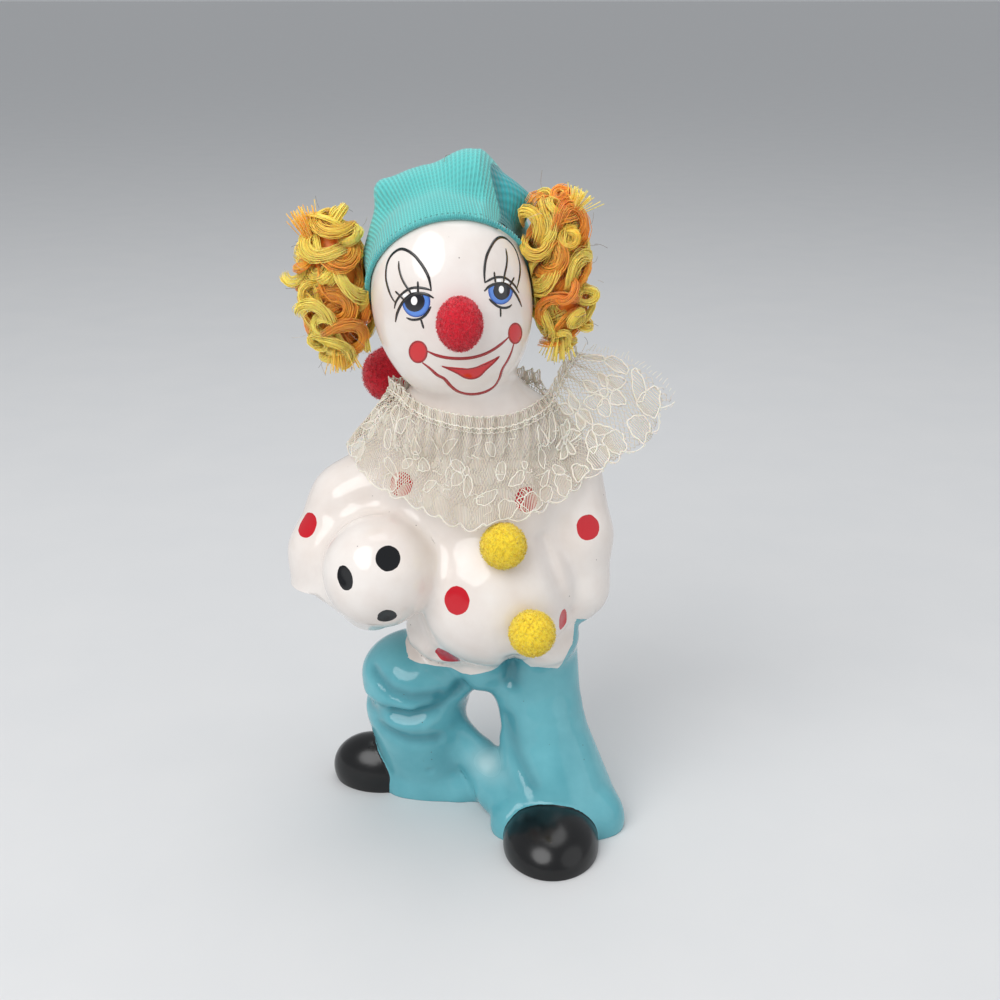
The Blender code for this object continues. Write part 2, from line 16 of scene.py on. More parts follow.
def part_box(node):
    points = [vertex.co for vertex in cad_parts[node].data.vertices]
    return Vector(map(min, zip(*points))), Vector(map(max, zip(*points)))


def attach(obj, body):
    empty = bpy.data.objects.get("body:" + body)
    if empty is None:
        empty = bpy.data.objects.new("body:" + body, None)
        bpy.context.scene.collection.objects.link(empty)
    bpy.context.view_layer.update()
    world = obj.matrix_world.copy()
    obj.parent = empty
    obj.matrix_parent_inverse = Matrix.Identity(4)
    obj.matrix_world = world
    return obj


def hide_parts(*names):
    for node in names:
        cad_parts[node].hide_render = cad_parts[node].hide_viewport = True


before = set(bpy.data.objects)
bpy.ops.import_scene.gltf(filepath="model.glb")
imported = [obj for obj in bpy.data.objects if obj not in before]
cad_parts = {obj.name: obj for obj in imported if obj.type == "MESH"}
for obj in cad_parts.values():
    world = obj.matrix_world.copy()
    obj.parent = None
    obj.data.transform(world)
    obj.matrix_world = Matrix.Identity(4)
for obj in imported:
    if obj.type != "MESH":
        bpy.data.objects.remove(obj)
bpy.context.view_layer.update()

FIGURE_LOW, FIGURE_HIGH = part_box("figure")
SHARES_TALL = 190.2
SHARE = (FIGURE_HIGH.z - FIGURE_LOW.z) / SHARES_TALL
FLOOR_MIDDLE = (-0.6, -10.5)
# Metres from the figure to each edge of the floor.
FLOOR_REACH = 60.0

# The camera that the photograph was taken with, in shares and degrees.
PHOTO_WIDTH = 1000
LENS = 50.0
SENSOR = 36.0
CAMERA_TILT = 20.0
CAMERA_REACH = 420.0
CAMERA_AIM = (5.0, 0.0, 98.0)

# The solids' own sizes, in shares, where the frame doesn't give them.
FIT_GAP = 0.3
KNIT_WALL = 1.2
HAIR_SEAT_GAP = 0.5
CURL_SIZE = 7.8
LACE_WIDTH = 31.0
LACE_CLEARANCE = 0.5
LACE_RUFFLE = 1.1

HEAD_CENTRE = (-8.5, -8.0, 160.6)
HEAD_RADII = (22.6, 22.0, 29.6)
HEAD_LEAN = -7.0
HEAD_LOOK = 6.0
BRIM_POINT = (0.0, -12.5, 24.0)
BRIM_SLOPE = 52.0
BRIM_NAPE = -8.0

FIGURE_VOXEL = 0.85
CAP_VOXEL = 0.75
# The ribs are half a millimetre apart on the cap, and are drawn at 0.85 mm so that they show.
RIB_WIDTH = 0.85
ROW_HEIGHT = 0.7
# The radii at which the knit's turns round the head are measured.
HEAD_ACROSS = 22.0
HEAD_OVER = 27.0


class Egg:
    """An ellipsoid that blends into the forms before it."""

    def __init__(self, name, centre, radii, blend=4.0, turn=(0.0, 0.0, 0.0)):
        self.name = name
        self.centre = np.array(centre, float)
        self.radii = np.array(radii, float)
        self.blend = blend
        self.matrix = Euler([math.radians(angle) for angle in turn], "XYZ").to_matrix()
        self.rotation = np.array(self.matrix)

    def distance(self, points):
        local = (points - self.centre) @ self.rotation
        near = np.linalg.norm(local / self.radii, axis=1)
        steep = np.linalg.norm(local / self.radii**2, axis=1)
        return near * (near - 1.0) / np.maximum(steep, 1e-6)

    def block_out(self, bm):
        place = Matrix.Translation(Vector(self.centre)) @ self.matrix.to_4x4()
        stretch = Matrix.Diagonal(Vector(self.radii)).to_4x4()
        bmesh.ops.create_icosphere(bm, subdivisions=4, radius=1.0, matrix=place @ stretch)


class Limb:
    """A round bar between two points, with its own radius at each end. A floor cuts it off level."""

    def __init__(self, name, start, end, start_radius, end_radius, blend=4.0, floor=None):
        self.name = name
        self.start = np.array(start, float)
        self.end = np.array(end, float)
        self.start_radius = start_radius
        self.end_radius = end_radius
        self.blend = blend
        self.floor = floor

    def distance(self, points):
        axis = self.end - self.start
        along = np.clip((points - self.start) @ axis / (axis @ axis), 0.0, 1.0)
        radius = self.start_radius + along * (self.end_radius - self.start_radius)
        found = np.linalg.norm(points - self.start - along[:, None] * axis, axis=1) - radius
        if self.floor is not None:
            found = np.maximum(found, self.floor - points[:, 2])
        return found

    def block_out(self, bm):
        axis = Vector(self.end - self.start)
        middle = Matrix.Translation(Vector(self.start + self.end) / 2)
        aim = axis.to_track_quat("Z", "Y").to_matrix().to_4x4()
        for centre, radius in ((self.start, self.start_radius), (self.end, self.end_radius)):
            ball = Matrix.Translation(Vector(centre))
            bmesh.ops.create_icosphere(bm, subdivisions=3, radius=radius, matrix=ball)
        bmesh.ops.create_cone(
            bm,
            cap_ends=True,
            segments=32,
            radius1=self.start_radius,
            radius2=self.end_radius,
            depth=axis.length,
            matrix=middle @ aim,
        )


# The cast figure's forms, as in the solids.
HEAD = Egg("head", HEAD_CENTRE, HEAD_RADII, blend=2.5, turn=(0.0, HEAD_LEAN, HEAD_LOOK))
BALL = Egg("ball", (-29.5, -27, 86.5), (16.5, 16.5, 16.5), blend=5)
SHOES = [
    Egg("shoe before", (20.3, -36, 1.5), (14.4, 18.3, 10.8), blend=0.6),
    Egg("shoe behind", (-35.5, 3.5, 4), (14.2, 10.5, 11.4), blend=0.6, turn=(0, 0, -16)),
]
CLOTHED_FORMS = [
    Egg("chest", (-3, -2, 101), (31, 26, 21)),
    Egg("belly", (3, -8, 77), (27, 32, 26.5), blend=7),
    Egg("seat", (2, 2, 60), (26, 22, 17), blend=6),
    Egg("slope of the shoulders", (-3.5, -3, 119), (27.5, 20, 18.5), blend=5),
    Limb("neck", (-5, -5, 142), (-4, -3, 122), 14, 17, blend=5),
    HEAD,
    Limb("shoulder over the ball", (-29, -1, 103), (-38, -3, 97), 14, 14, blend=5),
    Limb("sleeve over the ball", (-38, -3, 97), (-45, -7, 84), 14, 13.3, blend=3),
    Limb("cuff over the ball", (-45, -7, 84), (-46.3, -8, 72), 13.3, 12, blend=2, floor=75.3),
    Limb("hand under the ball", (-41, -16, 77.5), (-33, -24, 74), 8, 7, blend=2),
    BALL,
    Limb("shoulder by the pocket", (22, -2, 106), (25.5, -8, 90), 13.6, 13, blend=4),
    Limb("sleeve by the pocket", (25.5, -8, 90), (25.6, -10, 75), 13, 12, blend=2),
    Limb("cuff by the pocket", (25.6, -10, 75), (20, -12, 66.5), 12, 8.5, blend=2),
    Limb("hem over the ball side", (-10, -14, 70), (-13, -15, 61.5), 10.5, 9, blend=5),
    Egg("hem over the pocket side", (17.5, -12, 59.5), (11.5, 14, 9.5), blend=2),
    Egg("crotch", (0, -4, 47), (11, 15, 8.5), blend=5),
    Egg("thigh behind", (-20, -3, 42), (18.3, 17, 13), blend=3),
    Limb("shin behind", (-21, -1, 30), (-16.5, 5, 0), 16.6, 15, blend=3),
    Limb("hem behind", (-23.5, -1, 2), (-8, -4, 2), 9, 8.5, blend=3),
    Limb("thigh before", (14, -5, 52), (17.5, -11, 31), 15, 12.8, blend=4),
    Limb("shin before", (17.5, -11, 31), (23, -17, 2), 12.8, 19, blend=3),
    Limb("hem before", (10, -26.5, 2), (35, -24, 2), 8, 8.5, blend=4),
    Limb("web between the legs", (5, -15, 7), (0, 8, 0), 8, 6, blend=5),
    Limb("web on the slant", (-12, -3, 26), (0, -10, 13), 6.5, 6, blend=4),
]
FIGURE_FORMS = CLOTHED_FORMS + SHOES
LEG_GAP = [
    Limb("gap above", (-1.0, -14, 34.2), (-0.4, 40, 4), 4.5, 6),
    Limb("gap below", (2.0, -14, 28.5), (1.6, 40, -1.5), 2.4, 4, blend=5),
]

# Folds of the clothes, each as its route in X and Z, its half width and its depth. A depth under
# zero is a ridge. FRONT folds are seen on the side that faces -Y, and BACK folds on the other.
FRONT_FOLDS = [
    ([(-33, 46), (-28, 42.3), (-22, 40.6), (-14, 41.3)], 2.2, 1.6),
    ([(-27, 34.6), (-22, 34.2), (-15, 36.4), (-7, 43)], 2.4, 1.9),
    ([(-36, 33), (-30, 27.6), (-23, 24.8), (-15, 24.8)], 2.4, 1.5),
    ([(-36, 38.5), (-30, 37.5), (-22, 37.2)], 1.8, -0.9),
    ([(-34, 30.5), (-26, 29.5), (-17, 30.5)], 1.8, -0.8),
    ([(8.5, 47), (8.3, 54), (8.5, 60)], 2.6, 2.2),
    ([(7.5, 34), (10, 24), (14.5, 16)], 2.6, 1.3),
    ([(17, 95), (21, 84), (25, 71)], 1.8, 1.2),
    ([(-19, 72), (-17, 64), (-14, 57)], 2.2, 1.4),
    ([(-23, 68), (-22.5, 55)], 1.8, -0.8),
    ([(-44, 99), (-38, 103), (-30, 104)], 3.0, 1.0),
]
BACK_FOLDS = [
    ([(-30, 40), (-18, 37), (-6, 41)], 3.0, 1.3),
    ([(-30, 27), (-20, 24), (-10, 27)], 3.0, 1.1),
    ([(10, 40), (20, 36), (28, 38)], 3.0, 1.2),
    ([(0, 92), (2, 76), (3, 62)], 4.0, 1.2),
    ([(-28, 100), (-20, 88), (-16, 76)], 3.4, 1.2),
    ([(22, 98), (17, 86), (15, 74)], 3.4, 1.2),
]

CAP_FORMS = [
    Egg("crown", HEAD_CENTRE, HEAD_RADII, turn=(0.0, HEAD_LEAN, HEAD_LOOK)),
    Limb("side fold", (-29, -3, 173), (-26.5, -1, 189), 4.0, 2.6, blend=6),
    Limb("corner at its right", (-26.5, -1, 190.5), (-17, -2, 190), 2.6, 5.5, blend=5),
    Limb("top fold", (-17, -2, 190), (-3.5, -1, 193.2), 5.5, 7, blend=6),
    Limb("fold at its left", (-3.5, -1, 193.2), (11, 3, 186), 7, 5, blend=6),
    Limb("tail at the crown", (1, 3, 184), (3, 13, 172), 12, 11, blend=5),
    Limb("tail behind", (3, 13, 172), (-3, 18, 160), 11, 9, blend=5),
    Limb("tail low", (-3, 18, 160), (-16, 21, 148), 9, 6, blend=4),
    Limb("tail end", (-16, 21, 148), (-25, 20, 141), 6, 3.6, blend=3),
]

HAIR_PLACES = {
    "hair_right": ((-41.5, -3, 163.5), (12.8, 13, 24), (0, -3, 0)),
    "hair_left": ((21.5, -2, 168), (11.8, 13, 24.5), (0, -4, 0)),
}

# The lace runs from behind the clown's left shoulder round its right to the flap on its left.
# Each row is a point of the neckline, the way and the share of its width that the lace falls
# from there, where 31 is all of it, and how far its middle stands up from a straight fall.
LACE_STATIONS = [
    ((17, 8, 132), (14, 11, -21), 0),
    ((8, 14, 132), (6, 14, -24), 0),
    ((-6, 16, 131), (-3, 15, -25), 0),
    ((-18, 11, 129), (-12, 12, -21), 0),
    ((-27, 3, 131.5), (-12, 3, -18), 0),
    ((-24, -6, 132), (-13, -6, -18.5), 1),
    ((-18, -12, 128.5), (-8, -13, -21), 0),
    ((-9.5, -17, 127), (-5, -15.5, -22), 0),
    ((-0.7, -18.5, 125.9), (-2.6, -18, -24), 0),
    ((8, -16, 125.7), (2.5, -17, -22), 0),
    ((15, -9, 126.5), (8, -13.5, -20), 0),
    ((20, -2, 130), (14, -9, -19), 0),
    ((24, 2, 137), (23, -4, -21), 2),
    ((28, 4.5, 142.5), (28.5, -0.5, -15), 4.5),
]
LACE_RUFFLES = 15
LOCKS_PER_BUNCH = 40
SWIRLS_BELOW = 22
FIBRE_RADIUS = 0.135
# A lock's shade runs from yellow at 0 to deep orange at 1.
LOCK_SHADES = (0.0, 0.08, 0.16, 0.3, 0.7, 0.85)
# Locks that stand off the bunches, and tufts of cut ends with their way and their length.
EXTRA_LOCKS = {
    "hair_right": [((-52, -7, 168.5), (-0.15, -1, 0.1)), ((-47, -14, 158), (-0.2, -1, 0.1))],
    "hair_left": [((12.5, -9, 183), (-0.2, -0.8, 0.5)), ((15, -12, 176), (-0.1, -1, 0.3))],
}
TUFTS = {
    "hair_right": [((-47, -6, 177), (-0.35, -0.1, 0.95), 10), ((-41, -7, 148), (0.1, -0.1, -1), 8)],
    "hair_left": [((22, -6, 151), (-0.1, -0.1, -1), 8), ((26, -4, 186), (0.4, -0.1, 0.8), 5)],
}
# A ringlet's and a lock's half width, half thickness and count of fibres.
RINGLET = (1.25, 1.1, 26)
STANDING_LOCK = (0.9, 1.8, 34)
UNDER_LOCK = (0.8, 2.4, 30)
RINGLET_CHANCE = 0.45
CORE_UNDER_LOCKS = 5.8
# Where a pompom's fibres start and where its core ends, in shares of its radius.
YARN_ROOT = 0.86
YARN_CORE = 0.94
# Each next place is turned by this angle, which spreads places evenly over a ball.
GOLDEN_ANGLE = math.pi * (3 - math.sqrt(5))
UP = np.array((0.0, 0.0, 1.0))

# The paint, by pixels of the photograph: each is put where its line of sight meets the figure.
EYE_LINES = [
    ([(395.4, 303), (390.6, 294.8), (386.7, 282.5), (386, 273), (387.6, 262.5), (392.9, 253.7),
      (401.7, 249), (412.3, 253.7), (421.1, 263.7), (428.1, 276), (430.7, 286.6), (431, 291)], 0.62),
    ([(394.4, 308.6), (396.1, 301.8), (400.5, 295.4), (407, 290.1), (412.8, 287.9), (419.9, 287.7),
      (426.9, 288.9), (431.2, 290.6)], 0.52),
    ([(395.5, 322.1), (397, 314.1), (399.9, 307.1), (403.5, 301.2), (408.2, 296.5), (412.8, 294),
      (419.9, 293.3), (426.9, 294.5), (433.7, 298)], 0.62),
    ([(398.8, 261.1), (399.1, 268.4), (401.4, 277.2), (404.9, 284.2), (409.3, 290.7),
      (411.4, 295)], 0.5),
    ([(395.2, 291.3), (399.3, 295), (403.8, 299.8)], 0.45),
    ([(417.8, 281.3), (418, 287), (418.1, 293.6)], 0.45),
    ([(406.4, 317.7), (410.5, 319.4), (415.2, 319.7), (420.5, 318.5), (425.7, 314.7),
      (431, 306.5)], 0.52),
    ([(420.8, 318.8), (422, 323), (423.7, 328.5)], 0.45),
    ([(484.8, 282.8), (484.3, 272), (485.4, 261.2), (488.1, 252.2), (493.2, 242.6), (497.4, 238.4),
      (501.6, 237.2), (507, 239.3), (513, 245.6), (517.2, 254), (519.6, 263.6), (520, 272),
      (518.7, 281), (516.9, 287.9)], 0.6),
    ([(484.8, 282.8), (489.6, 279.8), (494.4, 277.7), (499.8, 277.1), (505.2, 278), (510, 281.3),
      (514.8, 285.8), (519, 293)], 0.5),
    ([(484.2, 291.2), (488.4, 287), (493.8, 284.3), (499.8, 283.4), (505.2, 284), (510, 287),
      (515.4, 293.5), (519, 300.1), (521.7, 306.7)], 0.6),
    ([(505.8, 248.6), (507, 257.6), (506.4, 266), (504.6, 274.4), (503.4, 283)], 0.5),
    ([(494.1, 271.7), (494.7, 277), (495.6, 283)], 0.45),
    ([(514.2, 277.4), (512, 281.5), (509.4, 286.4)], 0.45),
    ([(489, 298.9), (493.8, 303.4), (498.6, 306.7), (504, 307.9), (508.8, 307), (511.8, 304.6)], 0.5),
    ([(500.4, 307.9), (500.6, 312), (500.6, 316.9)], 0.42),
]
# Each eye's middle, the half width and half height of its iris and pupil, and its lid line.
EYES = [
    {
        "iris": (416.2, 301.5, 14.2, 15.8),
        "pupil": (414.6, 301.4, 10.2, 10.4),
        "glint": (414.2, 300.8, 3.2, 4.4),
        "upper_glints": [(405.9, 295.4, 3.0, 2.0), (413.8, 291.2, 3.0, 1.7)],
        "lid": [(397, 314), (399.9, 307), (403.5, 301), (408.2, 296.5), (412.8, 294), (419.9, 293.3),
                (426.9, 294.5), (434, 298)],
    },
    {
        "iris": (500.6, 290.4, 12.4, 14.2),
        "pupil": (501.6, 290.6, 8.4, 9.4),
        "glint": (501.3, 289.6, 2.6, 3.8),
        "upper_glints": [(499, 280.6, 2.6, 1.8), (506.4, 282.2, 2.6, 1.6)],
        "lid": [(484, 291.4), (488.4, 287), (493.8, 284.3), (499.8, 283.4), (505.2, 284), (510, 287),
                (515.4, 293.5)],
    },
]
MOUTH_LINES = [
    ([(427.3, 351.1), (436.3, 355.2), (446.9, 357.7), (459.1, 358.6), (471.4, 357.7), (483.6, 354.4),
      (493.4, 349.5), (502.4, 343), (508.5, 337.2)], 0.72),
    ([(422.4, 362.6), (429.8, 368.3), (437.1, 374.8), (444.4, 378.9), (451, 386.2), (459.1, 391.9),
      (471.4, 394.2), (483.6, 392.3), (493.4, 387), (499.1, 378.9), (502.4, 369.1), (507.3, 360.9),
      (511.4, 351.9), (513.8, 343.4)], 0.82),
]
CHEEKS = [(418.1, 351.9, 8.8, 10.6), (515.2, 333.4, 6.6, 10.0)]
LIPS = [(442, 366.2), (451, 368), (463.2, 369.3), (475.5, 367.6), (487.7, 363.4), (499.1, 356.4),
        (494.2, 362.6), (486.1, 369.9), (479.6, 376.4), (472.2, 378.9), (464.9, 377.7),
        (457.5, 373.6), (450.2, 370)]
HEM_LINE = [(405.1, 628), (407.7, 658), (416.6, 662.5), (434.4, 665.7), (451, 667.6), (461.2, 672.7),
            (471.4, 675), (484.2, 672.7), (495.7, 668.9), (504.6, 660.6), (512.2, 657.1),
            (521.2, 659.3), (530.1, 666.3), (541.6, 667.3), (558.2, 668.2), (562, 663.8),
            (569.6, 648.5), (573, 643)]
# Behind, the edge follows these heights at these X, and the photograph's line ends at this Y.
HEM_BEHIND_X = (-14, -4, 14, 24)
HEM_BEHIND_Z = (63, 57, 57, 62)
HEM_SEEN_TO = -2.0
# The marks in front, each an oval of the photograph: its middle, half width and half height in
# pixels, and its lean in degrees. The dots behind have an X, a Z and a radius.
FRONT_DOTS = [
    (307, 525, 9.5, 13, 12), (588, 527.5, 11.5, 13, 0), (457, 600.5, 12.5, 14.5, -10),
    (447, 657, 13.5, 9.5, 24), (563, 620, 3.8, 11, 6), (401, 484, 12, 12.5, 0),
    (526, 499.5, 11.5, 13, 0),
]
BALL_SPOTS = [(388, 558.5, 12.5, 13, 0), (345, 578, 7.5, 13, -14), (387, 616.5, 10, 6.5, -8)]
BACK_DOTS = [
    (-34, 92, 3.6), (-16, 108, 3.4), (4, 84, 3.8), (22, 104, 3.5), (-18, 72, 3.5), (20, 68, 3.3),
]
PIT = (430, 771, 3.2, 3.2, 0)
PIXELS_PER_SHARE = 3.5
BRUSH_SPREAD = 1.3
# How far the underside of the face's paint lies in the glaze.
PAINT_SUNK = 0.05
WORN_WEB = (488, 762)


def lined_up(vectors):
    """Vectors cut or stretched to a length of one."""
    return vectors / np.maximum(np.linalg.norm(vectors, axis=-1, keepdims=True), 1e-9)


def smooth_min(first, second, blend):
    """The nearer of two distances, with a fillet about as wide as the blend."""
    overlap = np.maximum(blend - np.abs(first - second), 0.0) / blend
    return np.minimum(first, second) - overlap**2 * blend / 4


def blended(forms, points):
    found = forms[0].distance(points)
    for form in forms[1:]:
        found = smooth_min(found, form.distance(points), form.blend)
    return found


def route_distance(points, route):
    """How far each point's X and Z lie from a route of straight runs."""
    flat = points[:, [0, 2]]
    nearest = np.full(len(points), np.inf)
    for start, end in zip(route[:-1], route[1:]):
        start = np.array(start, float)
        run = np.array(end, float) - start
        along = np.clip((flat - start) @ run / (run @ run), 0.0, 1.0)
        gap = np.linalg.norm(flat - start - along[:, None] * run, axis=1)
        nearest = np.minimum(nearest, gap)
    return nearest


def fold_depth(points):
    """How far the folds sink the surface at each point."""
    depth = np.zeros(len(points))
    middle = -2.0
    for folds, side in ((FRONT_FOLDS, -1.0), (BACK_FOLDS, 1.0)):
        facing = np.clip(0.5 + side * (points[:, 1] - middle) / 8.0, 0.0, 1.0)
        for route, half_width, deep in folds:
            depth += facing * deep * np.exp(-((route_distance(points, route) / half_width) ** 2))
    return depth


def cast_distance(points):
    """The cast figure as the solids have it."""
    cast = blended(FIGURE_FORMS, points) + fold_depth(points)
    return -smooth_min(-cast, blended(LEG_GAP, points), 2.5)


def in_head(points):
    """Points in the head's own directions, from its centre."""
    return (points - HEAD.centre) @ HEAD.rotation


def cap_outside(points):
    """The cap's outer surface, without its edge: the crown is the head grown by gap and knit."""
    found = CAP_FORMS[0].distance(points) - FIT_GAP - KNIT_WALL
    for form in CAP_FORMS[1:]:
        found = smooth_min(found, form.distance(points), form.blend)
    return found


def above_brim(points):
    """How far each point is past the plane of the cap's edge, on the cap's side."""
    slope = math.radians(BRIM_SLOPE)
    normal = np.array((0.0, math.sin(slope), math.cos(slope)))
    local = in_head(points)
    return np.minimum((local - np.array(BRIM_POINT)) @ normal, local[:, 2] - BRIM_NAPE)


def head_and_cap(points):
    cap = np.maximum(cap_outside(points), -above_brim(points))
    return np.minimum(HEAD.distance(points), cap)


def slope_of(distance, points):
    """The direction in which a distance grows, at each point."""
    step = 0.05
    slopes = np.empty_like(points)
    for axis in range(3):
        shift = np.zeros(3)
        shift[axis] = step
        slopes[:, axis] = (distance(points + shift) - distance(points - shift)) / (2 * step)
    return slopes


def settle(distance, points, level=0.0, turns=4):
    """Points moved on to the surface where the distance equals the level."""
    for _ in range(turns):
        slopes = slope_of(distance, points)
        steep = np.maximum((slopes**2).sum(axis=1), 0.2)
        shift = (distance(points) - level)[:, None] * slopes / steep[:, None]
        long = np.maximum(np.linalg.norm(shift, axis=1), 1e-9)
        points = points - shift * np.minimum(1.0, 2.0 / long)[:, None]
    return points


def push_out(distance, points, level, turns=6):
    """Points that are nearer than the level moved out to it, and the rest left as they are."""
    for _ in range(turns):
        near = distance(points) < level
        if not near.any():
            break
        points = points.copy()
        points[near] = settle(distance, points[near], level, turns=2)
    return points


def smooth_route(points, count):
    """Points spread evenly along a smooth curve through the points given."""
    points = np.array(points, float)
    ends = np.vstack([2 * points[0] - points[1], points, 2 * points[-1] - points[-2]])
    fine = []
    for i in range(len(points) - 1):
        before, start, end, after = ends[i : i + 4]
        for t in np.linspace(0, 1, 16, endpoint=False):
            bend = 2 * before - 5 * start + 4 * end - after
            twist = 3 * (start - end) + after - before
            fine.append(start + 0.5 * t * (end - before + t * (bend + t * twist)))
    fine.append(points[-1])
    fine = np.array(fine)
    gone = np.concatenate([[0], np.cumsum(np.linalg.norm(np.diff(fine[:, :3], axis=0), axis=1))])
    wanted = np.linspace(0, gone[-1], count)
    return np.column_stack([np.interp(wanted, gone, fine[:, k]) for k in range(fine.shape[1])])


def camera_place():
    tilt = math.radians(CAMERA_TILT)
    back = np.array((0.0, -math.cos(tilt), math.sin(tilt)))
    return np.array(CAMERA_AIM) + CAMERA_REACH * back


def lines_of_sight(pixels):
    """The way from the camera through each pixel of the photograph."""
    tilt = math.radians(CAMERA_TILT)
    ahead = np.array((0.0, math.cos(tilt), -math.sin(tilt)))
    upward = np.array((0.0, math.sin(tilt), math.cos(tilt)))
    focal = PHOTO_WIDTH * LENS / SENSOR
    right = (np.array(pixels, float)[:, :1] - PHOTO_WIDTH / 2) / focal
    down = (np.array(pixels, float)[:, 1:2] - PHOTO_WIDTH / 2) / focal
    return ahead + right * np.array((1.0, 0.0, 0.0)) - down * upward


def through_lens(points):
    """The pixel of the photograph at which each point shows."""
    tilt = math.radians(CAMERA_TILT)
    offset = points - camera_place()
    ahead = offset[:, 1] * math.cos(tilt) - offset[:, 2] * math.sin(tilt)
    upward = offset[:, 1] * math.sin(tilt) + offset[:, 2] * math.cos(tilt)
    focal = PHOTO_WIDTH * LENS / SENSOR
    middle = PHOTO_WIDTH / 2
    return np.column_stack([middle + focal * offset[:, 0] / ahead, middle - focal * upward / ahead])


def seen_at(pixels, distance):
    """Where the line of sight through each pixel first meets a surface."""
    eye = camera_place()
    ways = lines_of_sight(pixels)
    reaches = np.arange(0.75, 1.2, 0.002) * CAMERA_REACH
    spots = eye + reaches[None, :, None] * ways[:, None, :]
    gaps = distance(spots.reshape(-1, 3)).reshape(len(ways), -1)
    inside = gaps < 0
    first = np.where(inside.any(axis=1), inside.argmax(axis=1), gaps.argmin(axis=1))
    near = reaches[np.maximum(first - 1, 0)]
    far = reaches[first]
    for _ in range(12):
        middle = (near + far) / 2
        within = distance(eye + middle[:, None] * ways) < 0
        far = np.where(within, middle, far)
        near = np.where(within, near, middle)
    return eye + far[:, None] * ways


def facing_back(x, z):
    """The point of the figure's back at an X and a Z."""
    deep = np.arange(60.0, -30.0, -0.25)
    line = np.column_stack([np.full_like(deep, x), deep, np.full_like(deep, z)])
    first = np.argmax(cast_distance(line) < 0)
    return line[first]


def points_of(mesh):
    found = np.empty(len(mesh.vertices) * 3)
    mesh.vertices.foreach_get("co", found)
    return found.reshape(-1, 3)


def put_points(mesh, points):
    mesh.vertices.foreach_set("co", np.asarray(points, float).ravel())
    mesh.update()


def note_on(mesh, name, values):
    """Keeps a value at each point of the mesh, for its material to read."""
    attribute = mesh.attributes.new(name, "FLOAT", "POINT")
    attribute.data.foreach_set("value", np.asarray(values, np.float32))


def with_modifier(mesh, kind, **settings):
    """The mesh that a modifier makes of a mesh."""
    carrier = bpy.data.objects.new("carrier", mesh)
    bpy.context.scene.collection.objects.link(carrier)
    modifier = carrier.modifiers.new(kind.title(), kind)
    for name, value in settings.items():
        setattr(modifier, name, value)
    graph = bpy.context.evaluated_depsgraph_get()
    made = bpy.data.meshes.new_from_object(carrier.evaluated_get(graph))
    bpy.data.objects.remove(carrier)
    return made


def moulded(forms, distance, voxel):
    """A mesh in shares: the forms blocked out as one skin, settled on their blended surface."""
    bm = bmesh.new()
    for form in forms:
        form.block_out(bm)
    mesh = bpy.data.meshes.new("block")
    bm.to_mesh(mesh)
    bm.free()
    mesh = with_modifier(mesh, "REMESH", mode="VOXEL", voxel_size=voxel)
    put_points(mesh, settle(distance, points_of(mesh)))
    return mesh


def dressed(name, mesh, finishes, replaced=()):
    """A named piece from a mesh in shares, in its place in the frame."""
    middle = Matrix.Translation((-FLOOR_MIDDLE[0], -FLOOR_MIDDLE[1], 0.0))
    mesh.transform(Matrix.Scale(SHARE, 4) @ middle)
    mesh.name = name
    mesh.materials.clear()
    for finish in finishes:
        mesh.materials.append(finish)
    mesh.shade_smooth()
    piece = bpy.data.objects.new(name, mesh)
    bpy.context.scene.collection.objects.link(piece)
    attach(piece, "root")
    if replaced:
        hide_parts(*replaced)
    return piece


class Strands:
    """Gathers closed rings of points, strand by strand, and makes one mesh of them."""

    def __init__(self):
        self.corners = []
        self.faces = []
        self.shades = []
        self.lights = []
        self.count = 0

    def add_rings(self, rings, shades=0.5, lights=0.5):
        """Strands of one size: rings has a row for each strand, ring and corner of the ring."""
        strands, long, sides, _ = rings.shape
        base = self.count + np.arange(strands * long * sides).reshape(strands, long, sides)
        beside = np.roll(base, -1, axis=2)
        walls = np.stack([base[:, :-1], base[:, 1:], beside[:, 1:], beside[:, :-1]], axis=-1)
        self.faces += walls.reshape(-1, 4).tolist()
        self.faces += base[:, 0].tolist()
        self.faces += base[:, -1, ::-1].tolist()
        self.corners.append(rings.reshape(-1, 3))
        for kept, values in ((self.shades, shades), (self.lights, lights)):
            spread = np.asarray(values, float).reshape(-1, 1)
            kept.append(np.broadcast_to(spread, (strands, long * sides)).ravel())
        self.count += strands * long * sides

    def add_threads(self, spots, outs, radii, shades=0.5, sides=3, lights=0.5):
        """Round threads along rows of spots. Outs is any way that isn't along the thread."""
        ways = lined_up(np.gradient(spots, axis=1))
        across = lined_up(np.cross(ways, np.broadcast_to(outs, ways.shape)))
        out = np.cross(across, ways)
        radii = np.broadcast_to(np.asarray(radii, float), spots.shape[:2])
        angles = 2 * math.pi * (np.arange(sides) + 0.5) / sides
        sideways = np.cos(angles)[:, None] * across[:, :, None, :]
        ring = sideways + np.sin(angles)[:, None] * out[:, :, None, :]
        self.add_rings(spots[:, :, None, :] + radii[:, :, None, None] * ring, shades, lights)

    def mesh(self, name):
        made = bpy.data.meshes.new(name)
        made.from_pydata(np.vstack(self.corners), [], self.faces)
        note_on(made, "shade", np.concatenate(self.shades))
        note_on(made, "light", np.concatenate(self.lights))
        return made


def linear(hex_colour):
    """An sRGB hex colour as linear red, green, blue and alpha."""
    parts = [int(hex_colour[i : i + 2], 16) / 255 for i in (1, 3, 5)]
    return [c / 12.92 if c <= 0.04045 else ((c + 0.055) / 1.055) ** 2.4 for c in parts] + [1.0]


